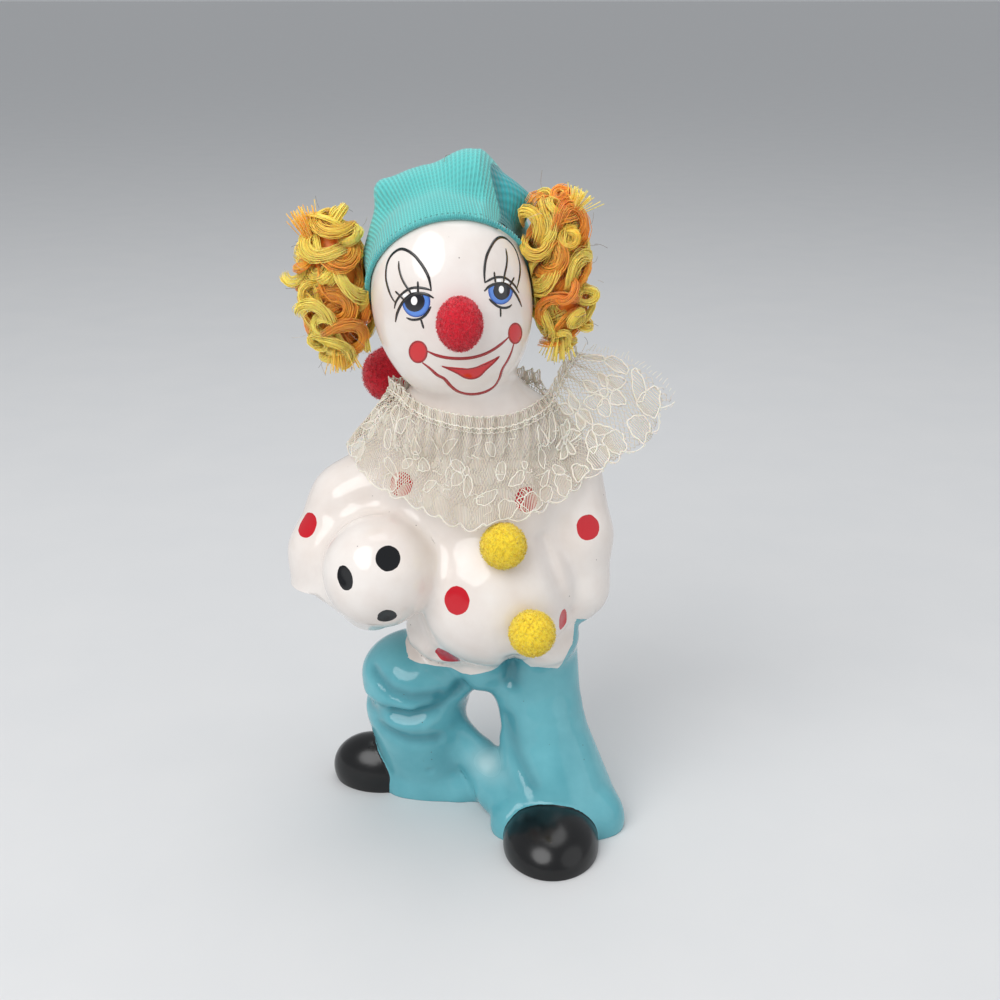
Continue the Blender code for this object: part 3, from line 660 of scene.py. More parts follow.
def new_finish(name, **uniform):
    """A material with the values that are the same all over it, and its nodes and shader."""
    made = bpy.data.materials.new(name)
    made.use_nodes = True
    nodes = made.node_tree
    shader = nodes.nodes["Principled BSDF"]
    for place, value in uniform.items():
        shader.inputs[place.replace("_", " ")].default_value = value
    return made, nodes, shader


def add_node(nodes, kind, inputs, **settings):
    """A new node with its settings. Each input is a value, or another node's output."""
    made = nodes.nodes.new("ShaderNode" + kind)
    for name, value in settings.items():
        setattr(made, name, value)
    for place, value in inputs.items():
        if isinstance(value, bpy.types.NodeSocket):
            nodes.links.new(value, made.inputs[place])
        else:
            made.inputs[place].default_value = value
    return made


def per_metre(millimetres):
    """The scale at which a pattern repeats once in so many millimetres."""
    return 1000.0 / millimetres


def glaze_finish():
    """Earthenware under a clear glaze, painted by hand: white, turquoise and black, red dots."""
    made, nodes, shader = new_finish("painted glazed earthenware", IOR=1.5, Metallic=0.0)
    place = add_node(nodes, "TexCoord", {}).outputs["Object"]
    shares = {
        name: add_node(nodes, "Attribute", {}, attribute_name=name).outputs["Fac"]
        for name in ("hem", "shoe", "dot", "spot", "hollow", "worn", "chin_shadow")
    }
    # The brush never follows its edge quite: the paint's border wavers by a quarter millimetre.
    waver = add_node(nodes, "TexNoise", {"Vector": place, "Scale": per_metre(2.5), "Detail": 2.0})
    waver = add_node(
        nodes, "MapRange", {"Value": waver.outputs["Fac"], "To Min": -0.25, "To Max": 0.25}
    )
    # The notes of the dots and the spots are under zero inside, and the other two over zero.
    for name, soft in (("hem", 0.05), ("dot", -0.06), ("spot", -0.06), ("shoe", 0.06)):
        edge = add_node(
            nodes, "Math", {0: shares[name], 1: waver.outputs["Result"]}, operation="ADD"
        )
        shares[name] = add_node(
            nodes,
            "MapRange",
            {"Value": edge.outputs[0], "From Min": -soft, "From Max": soft},
            interpolation_type="SMOOTHSTEP",
        ).outputs["Result"]

    # Soot and dust have settled in pinholes of the glaze, as dark specks of 0.3 to 0.5 mm.
    specks = add_node(nodes, "TexVoronoi", {"Vector": place, "Scale": per_metre(2.6)})
    speck = add_node(
        nodes,
        "MapRange",
        {"Value": specks.outputs["Distance"], "From Min": 0.09, "From Max": 0.05, "To Max": 0.75},
    ).outputs["Result"]
    chance = add_node(nodes, "SeparateColor", {0: specks.outputs["Color"]}).outputs[0]
    chosen = add_node(nodes, "Math", {0: chance, 1: 0.9}, operation="GREATER_THAN").outputs[0]
    shares["speck"] = add_node(nodes, "Math", {0: speck, 1: chosen}, operation="MULTIPLY").outputs[0]

    cloud = add_node(nodes, "TexNoise", {"Vector": place, "Scale": per_metre(14), "Detail": 5.0})
    cloud = add_node(
        nodes, "MapRange", {"Value": cloud.outputs["Fac"], "From Min": 0.35, "From Max": 0.7}
    ).outputs["Result"]
    white, body = (
        add_node(nodes, "Mix", {0: cloud, 6: linear(fair), 7: linear(dull)}, data_type="RGBA").outputs[2]
        for fair, dull in (("#EEE7E1", "#E4D9D1"), ("#6CB4BF", "#5BA4B0"))
    )
    # The turquoise is the ground, painted darker in the folds as shade, and each colour lies over the
    # last.
    layers = (
        ("hollow", linear("#3F8390")),
        ("hem", white),
        ("dot", linear("#C40D20")),
        ("spot", linear("#0E0F12")),
        ("shoe", linear("#0A0A0B")),
        ("worn", linear("#C9D5D4")),
        ("speck", linear("#4A3B33")),
        # The brownish grey under the chin is a painted shadow.
        ("chin_shadow", linear("#B7A596")),
    )
    for name, colour in layers:
        body = add_node(
            nodes, "Mix", {0: shares[name], 6: body, 7: colour}, data_type="RGBA"
        ).outputs[2]
    nodes.links.new(body, shader.inputs["Base Color"])

    rough = add_node(
        nodes, "MapRange", {"Value": cloud, "To Min": 0.07, "To Max": 0.13}
    ).outputs["Result"]
    rough = add_node(nodes, "Math", {0: rough, 1: shares["worn"]}, operation="ADD").outputs[0]
    # The shoes' black is a paint on top of the glaze, and is less glossy.
    rough = add_node(
        nodes, "Math", {0: shares["shoe"], 1: 0.14, 2: rough}, operation="MULTIPLY_ADD"
    ).outputs[0]
    nodes.links.new(rough, shader.inputs["Roughness"])
    # A cast surface under glaze is never quite even: it rolls by some hundredths of a millimetre.
    roll = add_node(nodes, "TexNoise", {"Vector": place, "Scale": per_metre(7), "Detail": 1.0})
    bump = add_node(
        nodes, "Bump", {"Height": roll.outputs["Fac"], "Strength": 0.35, "Distance": 0.00025}
    )
    nodes.links.new(bump.outputs["Normal"], shader.inputs["Normal"])
    return made


def overglaze(name, edge, middle):
    """Enamel painted over the glaze and fired on: thin, glossy, a little deeper in tone at its edge."""
    made, nodes, shader = new_finish(
        name, Roughness=0.12, IOR=1.5, Coat_Weight=0.5, Coat_Roughness=0.04
    )
    place = add_node(nodes, "TexCoord", {}).outputs["Object"]
    stroke = add_node(nodes, "TexNoise", {"Vector": place, "Scale": per_metre(0.9), "Detail": 3.0})
    shade = add_node(nodes, "Attribute", {}, attribute_name="shade").outputs["Fac"]
    blend = add_node(
        nodes,
        "Math",
        {0: stroke.outputs["Fac"], 1: 0.35, 2: shade},
        operation="MULTIPLY_ADD",
    ).outputs[0]
    blend = add_node(
        nodes, "MapRange", {"Value": blend, "From Min": 0.25, "From Max": 0.85}
    ).outputs["Result"]
    colour = add_node(
        nodes, "Mix", {0: blend, 6: linear(edge), 7: linear(middle)}, data_type="RGBA"
    )
    nodes.links.new(colour.outputs[2], shader.inputs["Base Color"])
    return made


def yarn_finish(name, deep, bright):
    """Acrylic yarn clipped to a ball: matt, each fibre deep or bright at random, and the core between
    the fibres' ends painted darker, as shade.
    """
    made, nodes, shader = new_finish(
        name, Roughness=0.9, Sheen_Weight=0.35, Sheen_Roughness=0.5, IOR=1.45
    )
    shade = add_node(nodes, "Attribute", {}, attribute_name="shade").outputs["Fac"]
    place = add_node(nodes, "TexCoord", {}).outputs["Object"]
    tuft = add_node(nodes, "TexNoise", {"Vector": place, "Scale": per_metre(1.1), "Detail": 3.0})
    blend = add_node(
        nodes, "Math", {0: tuft.outputs["Fac"], 1: 0.3, 2: shade}, operation="MULTIPLY_ADD"
    ).outputs[0]
    blend = add_node(
        nodes, "MapRange", {"Value": blend, "From Min": 0.25, "From Max": 1.05}
    ).outputs["Result"]
    colour = add_node(
        nodes, "Mix", {0: blend, 6: linear(deep), 7: linear(bright)}, data_type="RGBA"
    )
    nodes.links.new(colour.outputs[2], shader.inputs["Base Color"])
    return made


def doll_hair_finish():
    """Acrylic doll hair: fine smooth fibres with a silky streak, each lock yellow or orange."""
    made, nodes, shader = new_finish(
        "acrylic doll hair", Roughness=0.42, IOR=1.5, Sheen_Weight=0.2, Subsurface_Weight=0.35,
        Subsurface_Scale=0.0025,
    )
    shade = add_node(nodes, "Attribute", {}, attribute_name="shade").outputs["Fac"]
    ramp = add_node(nodes, "ValToRGB", {0: shade})
    stops = (
        (0.0, "#FFDD62"), (0.3, "#FFCB48"), (0.55, "#FFAE38"), (0.8, "#FF9426"), (1.0, "#F07C16"),
    )
    for i, (where, colour) in enumerate(stops):
        if i < 2:
            stop = ramp.color_ramp.elements[i]
        else:
            stop = ramp.color_ramp.elements.new(where)
        stop.position = where
        stop.color = linear(colour)
    place = add_node(nodes, "TexCoord", {}).outputs["Object"]
    fleck = add_node(nodes, "TexNoise", {"Vector": place, "Scale": per_metre(1.6), "Detail": 2.0})
    light = add_node(nodes, "Attribute", {}, attribute_name="light").outputs["Fac"]
    light = add_node(
        nodes, "Math", {0: light, 1: 0.7, 2: fleck.outputs["Fac"]}, operation="MULTIPLY_ADD"
    ).outputs[0]
    light = add_node(
        nodes, "MapRange", {"Value": light, "From Min": 0.3, "To Min": 0.85, "To Max": 1.3}
    ).outputs["Result"]
    colour = add_node(
        nodes, "HueSaturation", {"Color": ramp.outputs["Color"], "Value": light}
    )
    nodes.links.new(colour.outputs["Color"], shader.inputs["Base Color"])
    return made


def lint_finish():
    """Grey lint and loose ends of thread: dull and fine."""
    made, nodes, shader = new_finish("grey lint", Roughness=0.95)
    shade = add_node(nodes, "Attribute", {}, attribute_name="shade").outputs["Fac"]
    colour = add_node(
        nodes, "Mix", {0: shade, 6: linear("#5D574F"), 7: linear("#D9CFC0")}, data_type="RGBA"
    )
    nodes.links.new(colour.outputs[2], shader.inputs["Base Color"])
    return made


def lace_finish():
    """Cotton lace gone cream with age: matt thread, its raised cord painted lighter and its net darker,
    as painted light and shade.
    """
    made, nodes, shader = new_finish(
        "aged cotton lace", Roughness=0.85, Sheen_Weight=0.25, Subsurface_Weight=0.12,
        Subsurface_Scale=0.0008,
    )
    shade = add_node(nodes, "Attribute", {}, attribute_name="shade").outputs["Fac"]
    place = add_node(nodes, "TexCoord", {}).outputs["Object"]
    stain = add_node(nodes, "TexNoise", {"Vector": place, "Scale": per_metre(9), "Detail": 4.0})
    # From the net's darker cream, a painted shade, to the cord's lighter one, a painted light.
    colour = add_node(
        nodes, "Mix", {0: shade, 6: linear("#DDD0BC"), 7: linear("#F8F0E3")}, data_type="RGBA"
    ).outputs[2]
    blot = add_node(
        nodes,
        "MapRange",
        {"Value": stain.outputs["Fac"], "From Min": 0.5, "From Max": 0.85, "To Max": 0.45},
    ).outputs["Result"]
    colour = add_node(nodes, "Mix", {0: blot, 6: colour, 7: linear("#C2AE90")}, data_type="RGBA")
    nodes.links.new(colour.outputs[2], shader.inputs["Base Color"])
    return made


def knit_finish(fold_point, fold_way):
    """Stretched rib knit in aqua cotton: fine upright ribs, painted darker between them as shade, with
    grey lint.
    """
    made, nodes, shader = new_finish(
        "aqua rib knit", Roughness=0.9, Sheen_Weight=0.3, Sheen_Roughness=0.6
    )
    place = add_node(nodes, "TexCoord", {}).outputs["Object"]
    centre = [
        SHARE * (HEAD_CENTRE[0] - FLOOR_MIDDLE[0]),
        SHARE * (HEAD_CENTRE[1] - FLOOR_MIDDLE[1]),
        SHARE * HEAD_CENTRE[2],
    ]
    turn = [0.0, math.radians(HEAD_LEAN), math.radians(HEAD_LOOK)]
    local = add_node(
        nodes, "Mapping", {"Vector": place, "Location": centre, "Rotation": turn}, vector_type="TEXTURE"
    ).outputs["Vector"]
    parts = add_node(nodes, "SeparateXYZ", {0: local}).outputs

    # Past the fold the layer behind shows, in the shade of the folded edge along its front.
    offset = add_node(
        nodes, "VectorMath", {0: place, 1: in_frame(fold_point)}, operation="SUBTRACT"
    ).outputs["Vector"]
    past = add_node(
        nodes, "VectorMath", {0: offset, 1: Vector(fold_way)}, operation="DOT_PRODUCT"
    ).outputs["Value"]
    values = {"x": parts["X"], "y": parts["Y"], "z": parts["Z"], "past": past}
    for name in ("in_front", "brim"):
        values[name] = add_node(nodes, "Attribute", {}, attribute_name=name).outputs["Fac"]
    # Each row makes one value of others: its name, the kind of sum and what goes in. A RAMP is 0
    # at its first limit and 1 at its second.
    rows = (
        # The ribs rise side by side over the head, and the rows of stitches run across them.
        ("raised", "MULTIPLY", "z", 0.75),
        ("y squared", "MULTIPLY", "y", "y"),
        ("depth squared", "MULTIPLY_ADD", "raised", "raised", "y squared"),
        ("depth", "SQRT", "depth squared"),
        ("turn aside", "ARCTAN2", "x", "depth"),
        ("rib", "MULTIPLY", "turn aside", 2 * math.pi * HEAD_ACROSS / RIB_WIDTH),
        ("turn upward", "ARCTAN2", "z", "y"),
        ("row", "MULTIPLY", "turn upward", 2 * math.pi * HEAD_OVER / ROW_HEIGHT),
        ("rib's wave", "COSINE", "rib"),
        ("stitch turn", "MULTIPLY_ADD", "rib's wave", 1.3, "row"),
        ("stitch", "SINE", "stitch turn"),
        ("right side", "MULTIPLY_ADD", "stitch", 0.35, "rib's wave"),
        # The layer behind shows its wrong side: bumps in staggered rows, twice as coarse.
        ("past the edge", "RAMP", "past", 0.0002, 0.0004),
        ("layer behind", "MULTIPLY", "past the edge", "in_front"),
        ("half rib", "MULTIPLY", "rib", 0.5),
        ("half row", "MULTIPLY", "row", 0.5),
        ("half rib's wave", "SINE", "half rib"),
        ("half row's wave", "SINE", "half row"),
        ("wrong side", "MULTIPLY", "half rib's wave", "half row's wave"),
        ("near the edge", "RAMP", "past", 0.0022, 0.0003),
        ("in its shade", "MULTIPLY", "near the edge", "layer behind"),
        ("lit", "MULTIPLY_ADD", "in its shade", -0.45, 1.0),
        # A row of small holes runs along the turned edge, where it is sewn; the holes are painted dark,
        # as the shade in them.
        ("over the row", "RAMP", "brim", 1.0, 1.25),
        ("under the row", "RAMP", "brim", 1.75, 1.5),
        ("on the row", "MULTIPLY", "over the row", "under the row"),
        ("hole spacing", "MULTIPLY", "rib", 0.6),
        ("hole's wave", "COSINE", "hole spacing"),
        ("hole", "RAMP", "hole's wave", 0.1, 0.6),
        ("hole there", "MULTIPLY", "on the row", "hole"),
        ("whole", "MULTIPLY_ADD", "hole there", -0.5, 1.0),
        ("light left", "MULTIPLY", "lit", "whole"),
    )
    for name, kind, *sources in rows:
        given = [values.get(source, source) for source in sources]
        if kind == "RAMP":
            limits = {"Value": given[0], "From Min": given[1], "From Max": given[2]}
            values[name] = add_node(nodes, "MapRange", limits).outputs["Result"]
        else:
            values[name] = add_node(nodes, "Math", dict(enumerate(given)), operation=kind).outputs[0]
    behind = values["layer behind"]
    height = add_node(
        nodes, "Mix", {0: behind, 2: values["right side"], 3: values["wrong side"]}
    ).outputs[0]

    fade = add_node(nodes, "TexNoise", {"Vector": place, "Scale": per_metre(8), "Detail": 4.0})
    light = add_node(
        nodes, "Mix", {0: fade.outputs["Fac"], 6: linear("#4FC2BF"), 7: linear("#6AD2CC")},
        data_type="RGBA",
    ).outputs[2]
    # The layer behind the fold is painted a darker teal: a painted shade, as the fold shades it.
    light = add_node(
        nodes, "Mix", {0: behind, 6: light, 7: linear("#1FA3AA")}, data_type="RGBA"
    ).outputs[2]
    # The grooves between the ribs are painted darker, as are the holes and the folded edge: painted
    # shade.
    depth = add_node(
        nodes,
        "MapRange",
        {"Value": height, "From Min": -1.2, "From Max": 0.6, "To Min": 0.72, "To Max": 1.0},
    ).outputs["Result"]
    depth = add_node(
        nodes, "Math", {0: depth, 1: values["light left"]}, operation="MULTIPLY"
    ).outputs[0]
    colour = add_node(nodes, "HueSaturation", {"Color": light, "Value": depth}).outputs["Color"]
    lint = add_node(nodes, "TexVoronoi", {"Vector": place, "Scale": per_metre(3.0)})
    near = add_node(
        nodes, "MapRange", {"Value": lint.outputs["Distance"], "From Min": 0.1, "From Max": 0.05}
    ).outputs["Result"]
    chance = add_node(nodes, "SeparateColor", {0: lint.outputs["Color"]}).outputs[0]
    chosen = add_node(nodes, "Math", {0: chance, 1: 0.94}, operation="GREATER_THAN").outputs[0]
    near = add_node(nodes, "Math", {0: near, 1: chosen}, operation="MULTIPLY").outputs[0]
    colour = add_node(nodes, "Mix", {0: near, 6: colour, 7: linear("#2B5F66")}, data_type="RGBA")
    nodes.links.new(colour.outputs[2], shader.inputs["Base Color"])
    bump = add_node(nodes, "Bump", {"Height": height, "Strength": 0.8, "Distance": 0.00016})
    nodes.links.new(bump.outputs["Normal"], shader.inputs["Normal"])
    return made


class Mark:
    """A round mark of the paint: how far a point is from its edge, and its depth as a dish."""

    def __init__(self, centre, radius, oval=None):
        self.centre = centre
        self.radius = radius
        self.oval = oval

    def beyond(self, points):
        """How far each point is past the mark's edge, in shares."""
        away = np.linalg.norm(points - self.centre, axis=1)
        if self.oval is None:
            return away - self.radius
        x, y, half_wide, half_high, lean = self.oval
        shown = through_lens(points) - (x, y)
        turn = math.radians(lean)
        along = shown[:, 0] * math.cos(turn) + shown[:, 1] * math.sin(turn)
        down = shown[:, 1] * math.cos(turn) - shown[:, 0] * math.sin(turn)
        past = (np.hypot(along / half_wide, down / half_high) - 1) * self.radius
        reach = 1.15 * max(half_wide, half_high) / PIXELS_PER_SHARE
        return np.maximum(past, away - reach)

    def dish(self, points, deep):
        """How far the clay is pressed in under the mark."""
        past = np.maximum(self.beyond(points) / self.radius + 1, 0.0)
        return deep * np.exp(-(past**2))


def ovals_shown(ovals):
    """Marks on the figure where the photograph shows them."""
    centres = seen_at(np.array([oval[:2] for oval in ovals]), cast_distance)
    return [
        Mark(centre, math.sqrt(oval[2] * oval[3]) / PIXELS_PER_SHARE, oval)
        for centre, oval in zip(centres, ovals)
    ]


def nearest_edge(points, marks):
    """How far each point is outside the edge of the nearest mark."""
    return np.min([mark.beyond(points) for mark in marks], axis=0)


def above_hem(points):
    """How far each point is above the shirt's painted edge: as shown in front, by height behind."""
    shown = through_lens(points)
    edge = np.array([(200, 633), (404, 633)] + HEM_LINE[1:] + [(574.7, 619), (800, 619)])
    in_front = (np.interp(shown[:, 0], edge[:, 0], edge[:, 1]) - shown[:, 1]) / PIXELS_PER_SHARE
    behind = points[:, 2] - np.interp(points[:, 0], HEM_BEHIND_X, HEM_BEHIND_Z)
    share = np.clip((HEM_SEEN_TO - points[:, 1]) / 6.0, 0.0, 1.0)
    return share * in_front + (1.0 - share) * behind


def make_figure(finish):
    """The cast figure, finer than its solid, with its paint noted on it."""
    dots = ovals_shown(FRONT_DOTS)
    dots += [Mark(facing_back(x, z), radius) for x, z, radius in BACK_DOTS]
    spots = ovals_shown(BALL_SPOTS)
    pit = ovals_shown([PIT])
    pressed_in = [(mark, 0.35) for mark in dots] + [(mark, 0.7) for mark in spots + pit]

    def pressed(points):
        return cast_distance(points) + sum(mark.dish(points, deep) for mark, deep in pressed_in)

    mesh = moulded(FIGURE_FORMS, pressed, FIGURE_VOXEL)
    bm = bmesh.new()
    bm.from_mesh(mesh)
    every = bm.verts[:] + bm.edges[:] + bm.faces[:]
    bmesh.ops.bisect_plane(
        bm, geom=every, dist=1e-4, plane_co=(0, 0, 0), plane_no=(0, 0, 1), clear_inner=True
    )
    rim = [edge for edge in bm.edges if edge.is_boundary]
    bmesh.ops.holes_fill(bm, edges=rim)
    bmesh.ops.recalc_face_normals(bm, faces=bm.faces[:])
    bm.to_mesh(mesh)
    bm.free()

    points = points_of(mesh)
    shoe = np.min([form.distance(points) for form in SHOES], axis=0)
    note_on(mesh, "hem", above_hem(points))
    note_on(mesh, "shoe", blended(CLOTHED_FORMS, points) - shoe)
    note_on(mesh, "dot", nearest_edge(points, dots))
    note_on(mesh, "spot", nearest_edge(points, spots))
    # Painted shade in the folds: the deeper a fold's groove, the darker its turquoise.
    note_on(mesh, "hollow", np.clip(fold_depth(points) / 2.2, 0.0, 0.8))
    web = seen_at(np.array([WORN_WEB]), cast_distance)[0]
    away = np.linalg.norm((points - web) / np.array((5.0, 8.0, 4.0)), axis=1)
    note_on(mesh, "worn", 0.45 * np.exp(-(away**2)))
    # A painted shadow of the chin: a brownish grey band on the neck just under it.
    under_chin = np.array((-7.0, -16.0, 133.0))
    away = np.linalg.norm((points - under_chin) / np.array((16.0, 9.0, 3.5)), axis=1)
    note_on(mesh, "chin_shadow", 0.4 * np.exp(-(away**2)))
    return dressed("cast_figure", mesh, [finish], ["figure"])


def face_distance(points):
    """The head as it blends into the neck, which is all of the cast that the face meets."""
    return blended(CLOTHED_FORMS[3:6], points)


def on_head(pixels, lift):
    """Points on the head that show at the pixels, lifted off it, and the ways out there."""
    spots = seen_at(pixels, face_distance)
    outs = lined_up(slope_of(face_distance, spots))
    return spots + lift * outs, outs


def brush_line(paint, pixels, width, lift, fine_ends=True):
    """A brush line over the head: a thin ribbon that starts and ends fine."""
    width = BRUSH_SPREAD * width
    long = int(np.linalg.norm(np.diff(np.array(pixels), axis=0), axis=1).sum())
    count = max(8, int(long * 0.8))
    spots, outs = on_head(smooth_route(pixels, count), lift)
    ways = lined_up(np.gradient(spots, axis=0))
    across = np.cross(ways, outs)
    half = np.full(count, width / 2)
    if fine_ends:
        from_end = np.minimum(np.arange(count), np.arange(count)[::-1]) / (0.12 * count)
        half *= 0.45 + 0.55 * np.clip(from_end, 0.0, 1.0)
    left = spots - across * half[:, None]
    right = spots + across * half[:, None]
    sunk = outs * (lift + PAINT_SUNK)
    rings = np.stack([right, left, left - sunk, right - sunk], axis=1)
    paint.add_rings(rings[None])


def ellipse_of(mark, count=36):
    """The outline of an oval: its middle, half width and half height, in pixels."""
    x, y, half_width, half_height = mark
    angles = 2 * math.pi * np.arange(count) / count
    return np.column_stack([x + half_width * np.cos(angles), y + half_height * np.sin(angles)])


def brush_patch(paint, outline, lift, edge_shade=0.0, middle_shade=1.0):
    """A flat patch of paint on the head, inside an outline of pixels."""
    outline = np.array(outline, float)
    middle = outline.mean(axis=0)
    shares = (0.03, 0.35, 0.65, 0.86, 1.0)
    between = 0.5 * (edge_shade + middle_shade)
    shades = (middle_shade, middle_shade, middle_shade, between, edge_shade)
    rings = []
    for share in shares:
        spots, outs = on_head(middle + share * (outline - middle), lift)
        rings.append(spots)
    below = rings[-1] - outs * (lift + PAINT_SUNK)
    inner_below = rings[0] - outs.mean(axis=0) * (lift + PAINT_SUNK)
    rings += [below, inner_below]
    paint.add_rings(np.array(rings)[None])
    shade = np.repeat(shades + (edge_shade, edge_shade), len(outline))
    paint.shades[-1] = shade


def under_lid(outline, lid):
    """The outline with what is above the lid line brought down to it."""
    lid = np.array(lid)
    held = outline.copy()
    held[:, 1] = np.maximum(held[:, 1], np.interp(held[:, 0], lid[:, 0], lid[:, 1]))
    return held


def closed_mesh(paint, name):
    """The mesh of gathered strands, with all its faces turned outwards."""
    mesh = paint.mesh(name)
    bm = bmesh.new()
    bm.from_mesh(mesh)
    bmesh.ops.recalc_face_normals(bm, faces=bm.faces[:])
    bm.to_mesh(mesh)
    bm.free()
    return mesh


def paint_face(finishes):
    """The face: outlined eyes, blue irises, a wide painted smile and round red cheeks."""
    black, blue, navy, white, red, dark_red = (Strands() for _ in range(6))
    for pixels, width in EYE_LINES:
        brush_line(black, pixels, width, lift=0.06)
    for eye in EYES:
        brush_patch(blue, under_lid(ellipse_of(eye["iris"]), eye["lid"]), 0.02)
        brush_patch(navy, under_lid(ellipse_of(eye["pupil"]), eye["lid"]), 0.035)
        brush_patch(white, ellipse_of(eye["glint"], 20), 0.05)
        for glint in eye["upper_glints"]:
            brush_patch(white, ellipse_of(glint, 16), 0.05)
    for cheek in CHEEKS:
        outline = ellipse_of(cheek)
        brush_patch(red, outline, 0.03)
        ring = np.vstack([outline, outline[:2]])
        brush_line(dark_red, ring, 0.35, lift=0.05, fine_ends=False)
    brush_patch(red, smooth_route(LIPS + [LIPS[0]], 60)[:-1], 0.03)
    brush_line(dark_red, LIPS + [LIPS[0]], 0.32, lift=0.05, fine_ends=False)
    for pixels, width in MOUTH_LINES:
        brush_line(dark_red, pixels, width, lift=0.05)
    layers = {
        "eye_outlines": (black, "black"),
        "irises": (blue, "blue"),
        "pupils": (navy, "navy"),
        "eye_glints": (white, "white"),
        "cheeks_and_lips": (red, "red"),
        "mouth_outlines": (dark_red, "dark_red"),
    }
    for name, (paint, colour) in layers.items():
        dressed(name, closed_mesh(paint, name), [finishes[colour]])


def boolean(mesh, cutter, operation):
    """One mesh joined with another, or cut by it."""
    tool = bpy.data.objects.new("tool", cutter)
    bpy.context.scene.collection.objects.link(tool)
    made = with_modifier(mesh, "BOOLEAN", object=tool, operation=operation, solver="MANIFOLD")
    bpy.data.objects.remove(tool)
    return made


def head_grown(by):
    """The head's own egg, grown by a wall or a gap."""
    bm = bmesh.new()
    bmesh.ops.create_uvsphere(bm, u_segments=72, v_segments=48, radius=1.0)
    mesh = bpy.data.meshes.new("head grown")
    bm.to_mesh(mesh)
    bm.free()
    local = points_of(mesh) * (np.array(HEAD_RADII) + by)
    put_points(mesh, local @ HEAD.rotation.T + HEAD.centre)
    return mesh


def box_below(point, slope):
    """A box under a plane through a point of the head, in the head's directions."""
    bm = bmesh.new()
    reach = 90.0
    bmesh.ops.create_cube(bm, size=reach)
    tip = Matrix.Rotation(-math.radians(slope), 4, "X")
    down = Matrix.Translation((0, 0, -reach / 2))
    place = Matrix.Translation(Vector(HEAD.centre)) @ HEAD.matrix.to_4x4()
    bm.transform(place @ Matrix.Translation(point) @ tip @ down)
    mesh = bpy.data.meshes.new("below")
    bm.to_mesh(mesh)
    bm.free()
    return mesh


# The edge of the cap's front layer, where it is folded over: pixels from its top to the brim.
FOLD_EDGE = [(477, 158), (484, 172), (494, 194), (513, 220), (528, 246), (533, 262)]
# Past the edge the knit steps back by its fold, and before the edge it swells into a roll.
FOLD_STEP = 1.6
FOLD_SHARPNESS = 0.4
ROLL_HEIGHT = 0.5
ROLL_FROM_EDGE = 1.4
ROLL_WIDTH = 1.1


def fold_plane():
    """A point of the folded edge and the way from it into the layer behind."""
    edge = seen_at(np.array(FOLD_EDGE), cap_outside)
    run = lined_up(edge[-1] - edge[0])
    way = lined_up(np.cross(run, np.array((0.25, 1.0, 0.1))))
    return edge.mean(axis=0), way * np.sign(way[0])


def make_cap():
    """The knit as a hollow shell, folded over at the top, with its edge at the brim."""
    fold_point, fold_way = fold_plane()

    def folded(points):
        past = (points - fold_point) @ fold_way
        step = FOLD_STEP / (1.0 + np.exp(-past / FOLD_SHARPNESS))
        roll = ROLL_HEIGHT * np.exp(-(((past + ROLL_FROM_EDGE) / ROLL_WIDTH) ** 2))
        return cap_outside(points) + step - roll

    outside = with_modifier(moulded(CAP_FORMS, folded, CAP_VOXEL), "TRIANGULATE")
    knit_at_nape = head_grown(FIT_GAP + 2 * KNIT_WALL)
    nape = boolean(knit_at_nape, box_below((0, 0, BRIM_NAPE), 0.0), "INTERSECT")
    shell = outside
    for cutter in (nape, box_below(BRIM_POINT, BRIM_SLOPE), head_grown(FIT_GAP)):
        shell = boolean(shell, cutter, "DIFFERENCE")
    points = points_of(shell)
    note_on(shell, "in_front", np.clip(0.5 - (points[:, 1] - 8.0) / 6.0, 0.0, 1.0))
    note_on(shell, "brim", above_brim(points))
    finish = knit_finish(fold_point, fold_way)
    cap = dressed("knit_cap", shell, [finish], ["cap"])
    return cap


def brim_route(count):
    """Points round the cap's edge, on the outside of the knit."""
    grown = np.array(HEAD_RADII) + FIT_GAP + KNIT_WALL
    lift = np.radians(np.linspace(-60, 85, 400))
    found = []
    for turn in np.linspace(-math.pi, math.pi, count, endpoint=False):
        way = np.column_stack(
            [np.cos(lift) * math.sin(turn), -np.cos(lift) * math.cos(turn), np.sin(lift)]
        )
        line = (way * grown) @ HEAD.rotation.T + HEAD.centre
        found.append(line[np.argmax(above_brim(line) > 0)])
    return settle(cap_outside, np.array(found), turns=2)


def make_brim_stitches(finish):
    """The rolled edge of the knit, and the row of small stitches that holds it."""
    stitches = Strands()
    route = brim_route(160)
    closed = np.vstack([route, route[:2]])
    outs = lined_up(slope_of(cap_outside, closed))
    upward = lined_up(np.cross(np.gradient(closed, axis=0), outs))
    if (upward @ UP).mean() < 0:
        upward = -upward
    rolled = closed - 0.6 * outs + 0.25 * upward
    stitches.add_threads(rolled[None], outs[None], 0.52, 0.35, sides=8)
    for i in range(len(route)):
        spot = route[i]
        out = outs[i]
        rise = upward[i]
        slant = lined_up(closed[i + 1] - closed[i])
        stitch = np.array([
            spot - 0.4 * out - 0.35 * rise,
            spot + 0.12 * out + 0.1 * rise + 0.1 * slant,
            spot + 0.1 * out + 0.7 * rise + 0.3 * slant,
            spot - 0.3 * out + 1.1 * rise + 0.4 * slant,
        ])
        stitches.add_threads(stitch[None], out[None, None], (0.16, 0.2, 0.2, 0.14), 0.5, sides=4)
    return dressed("cap_edge_stitches", stitches.mesh("edge"), [finish])


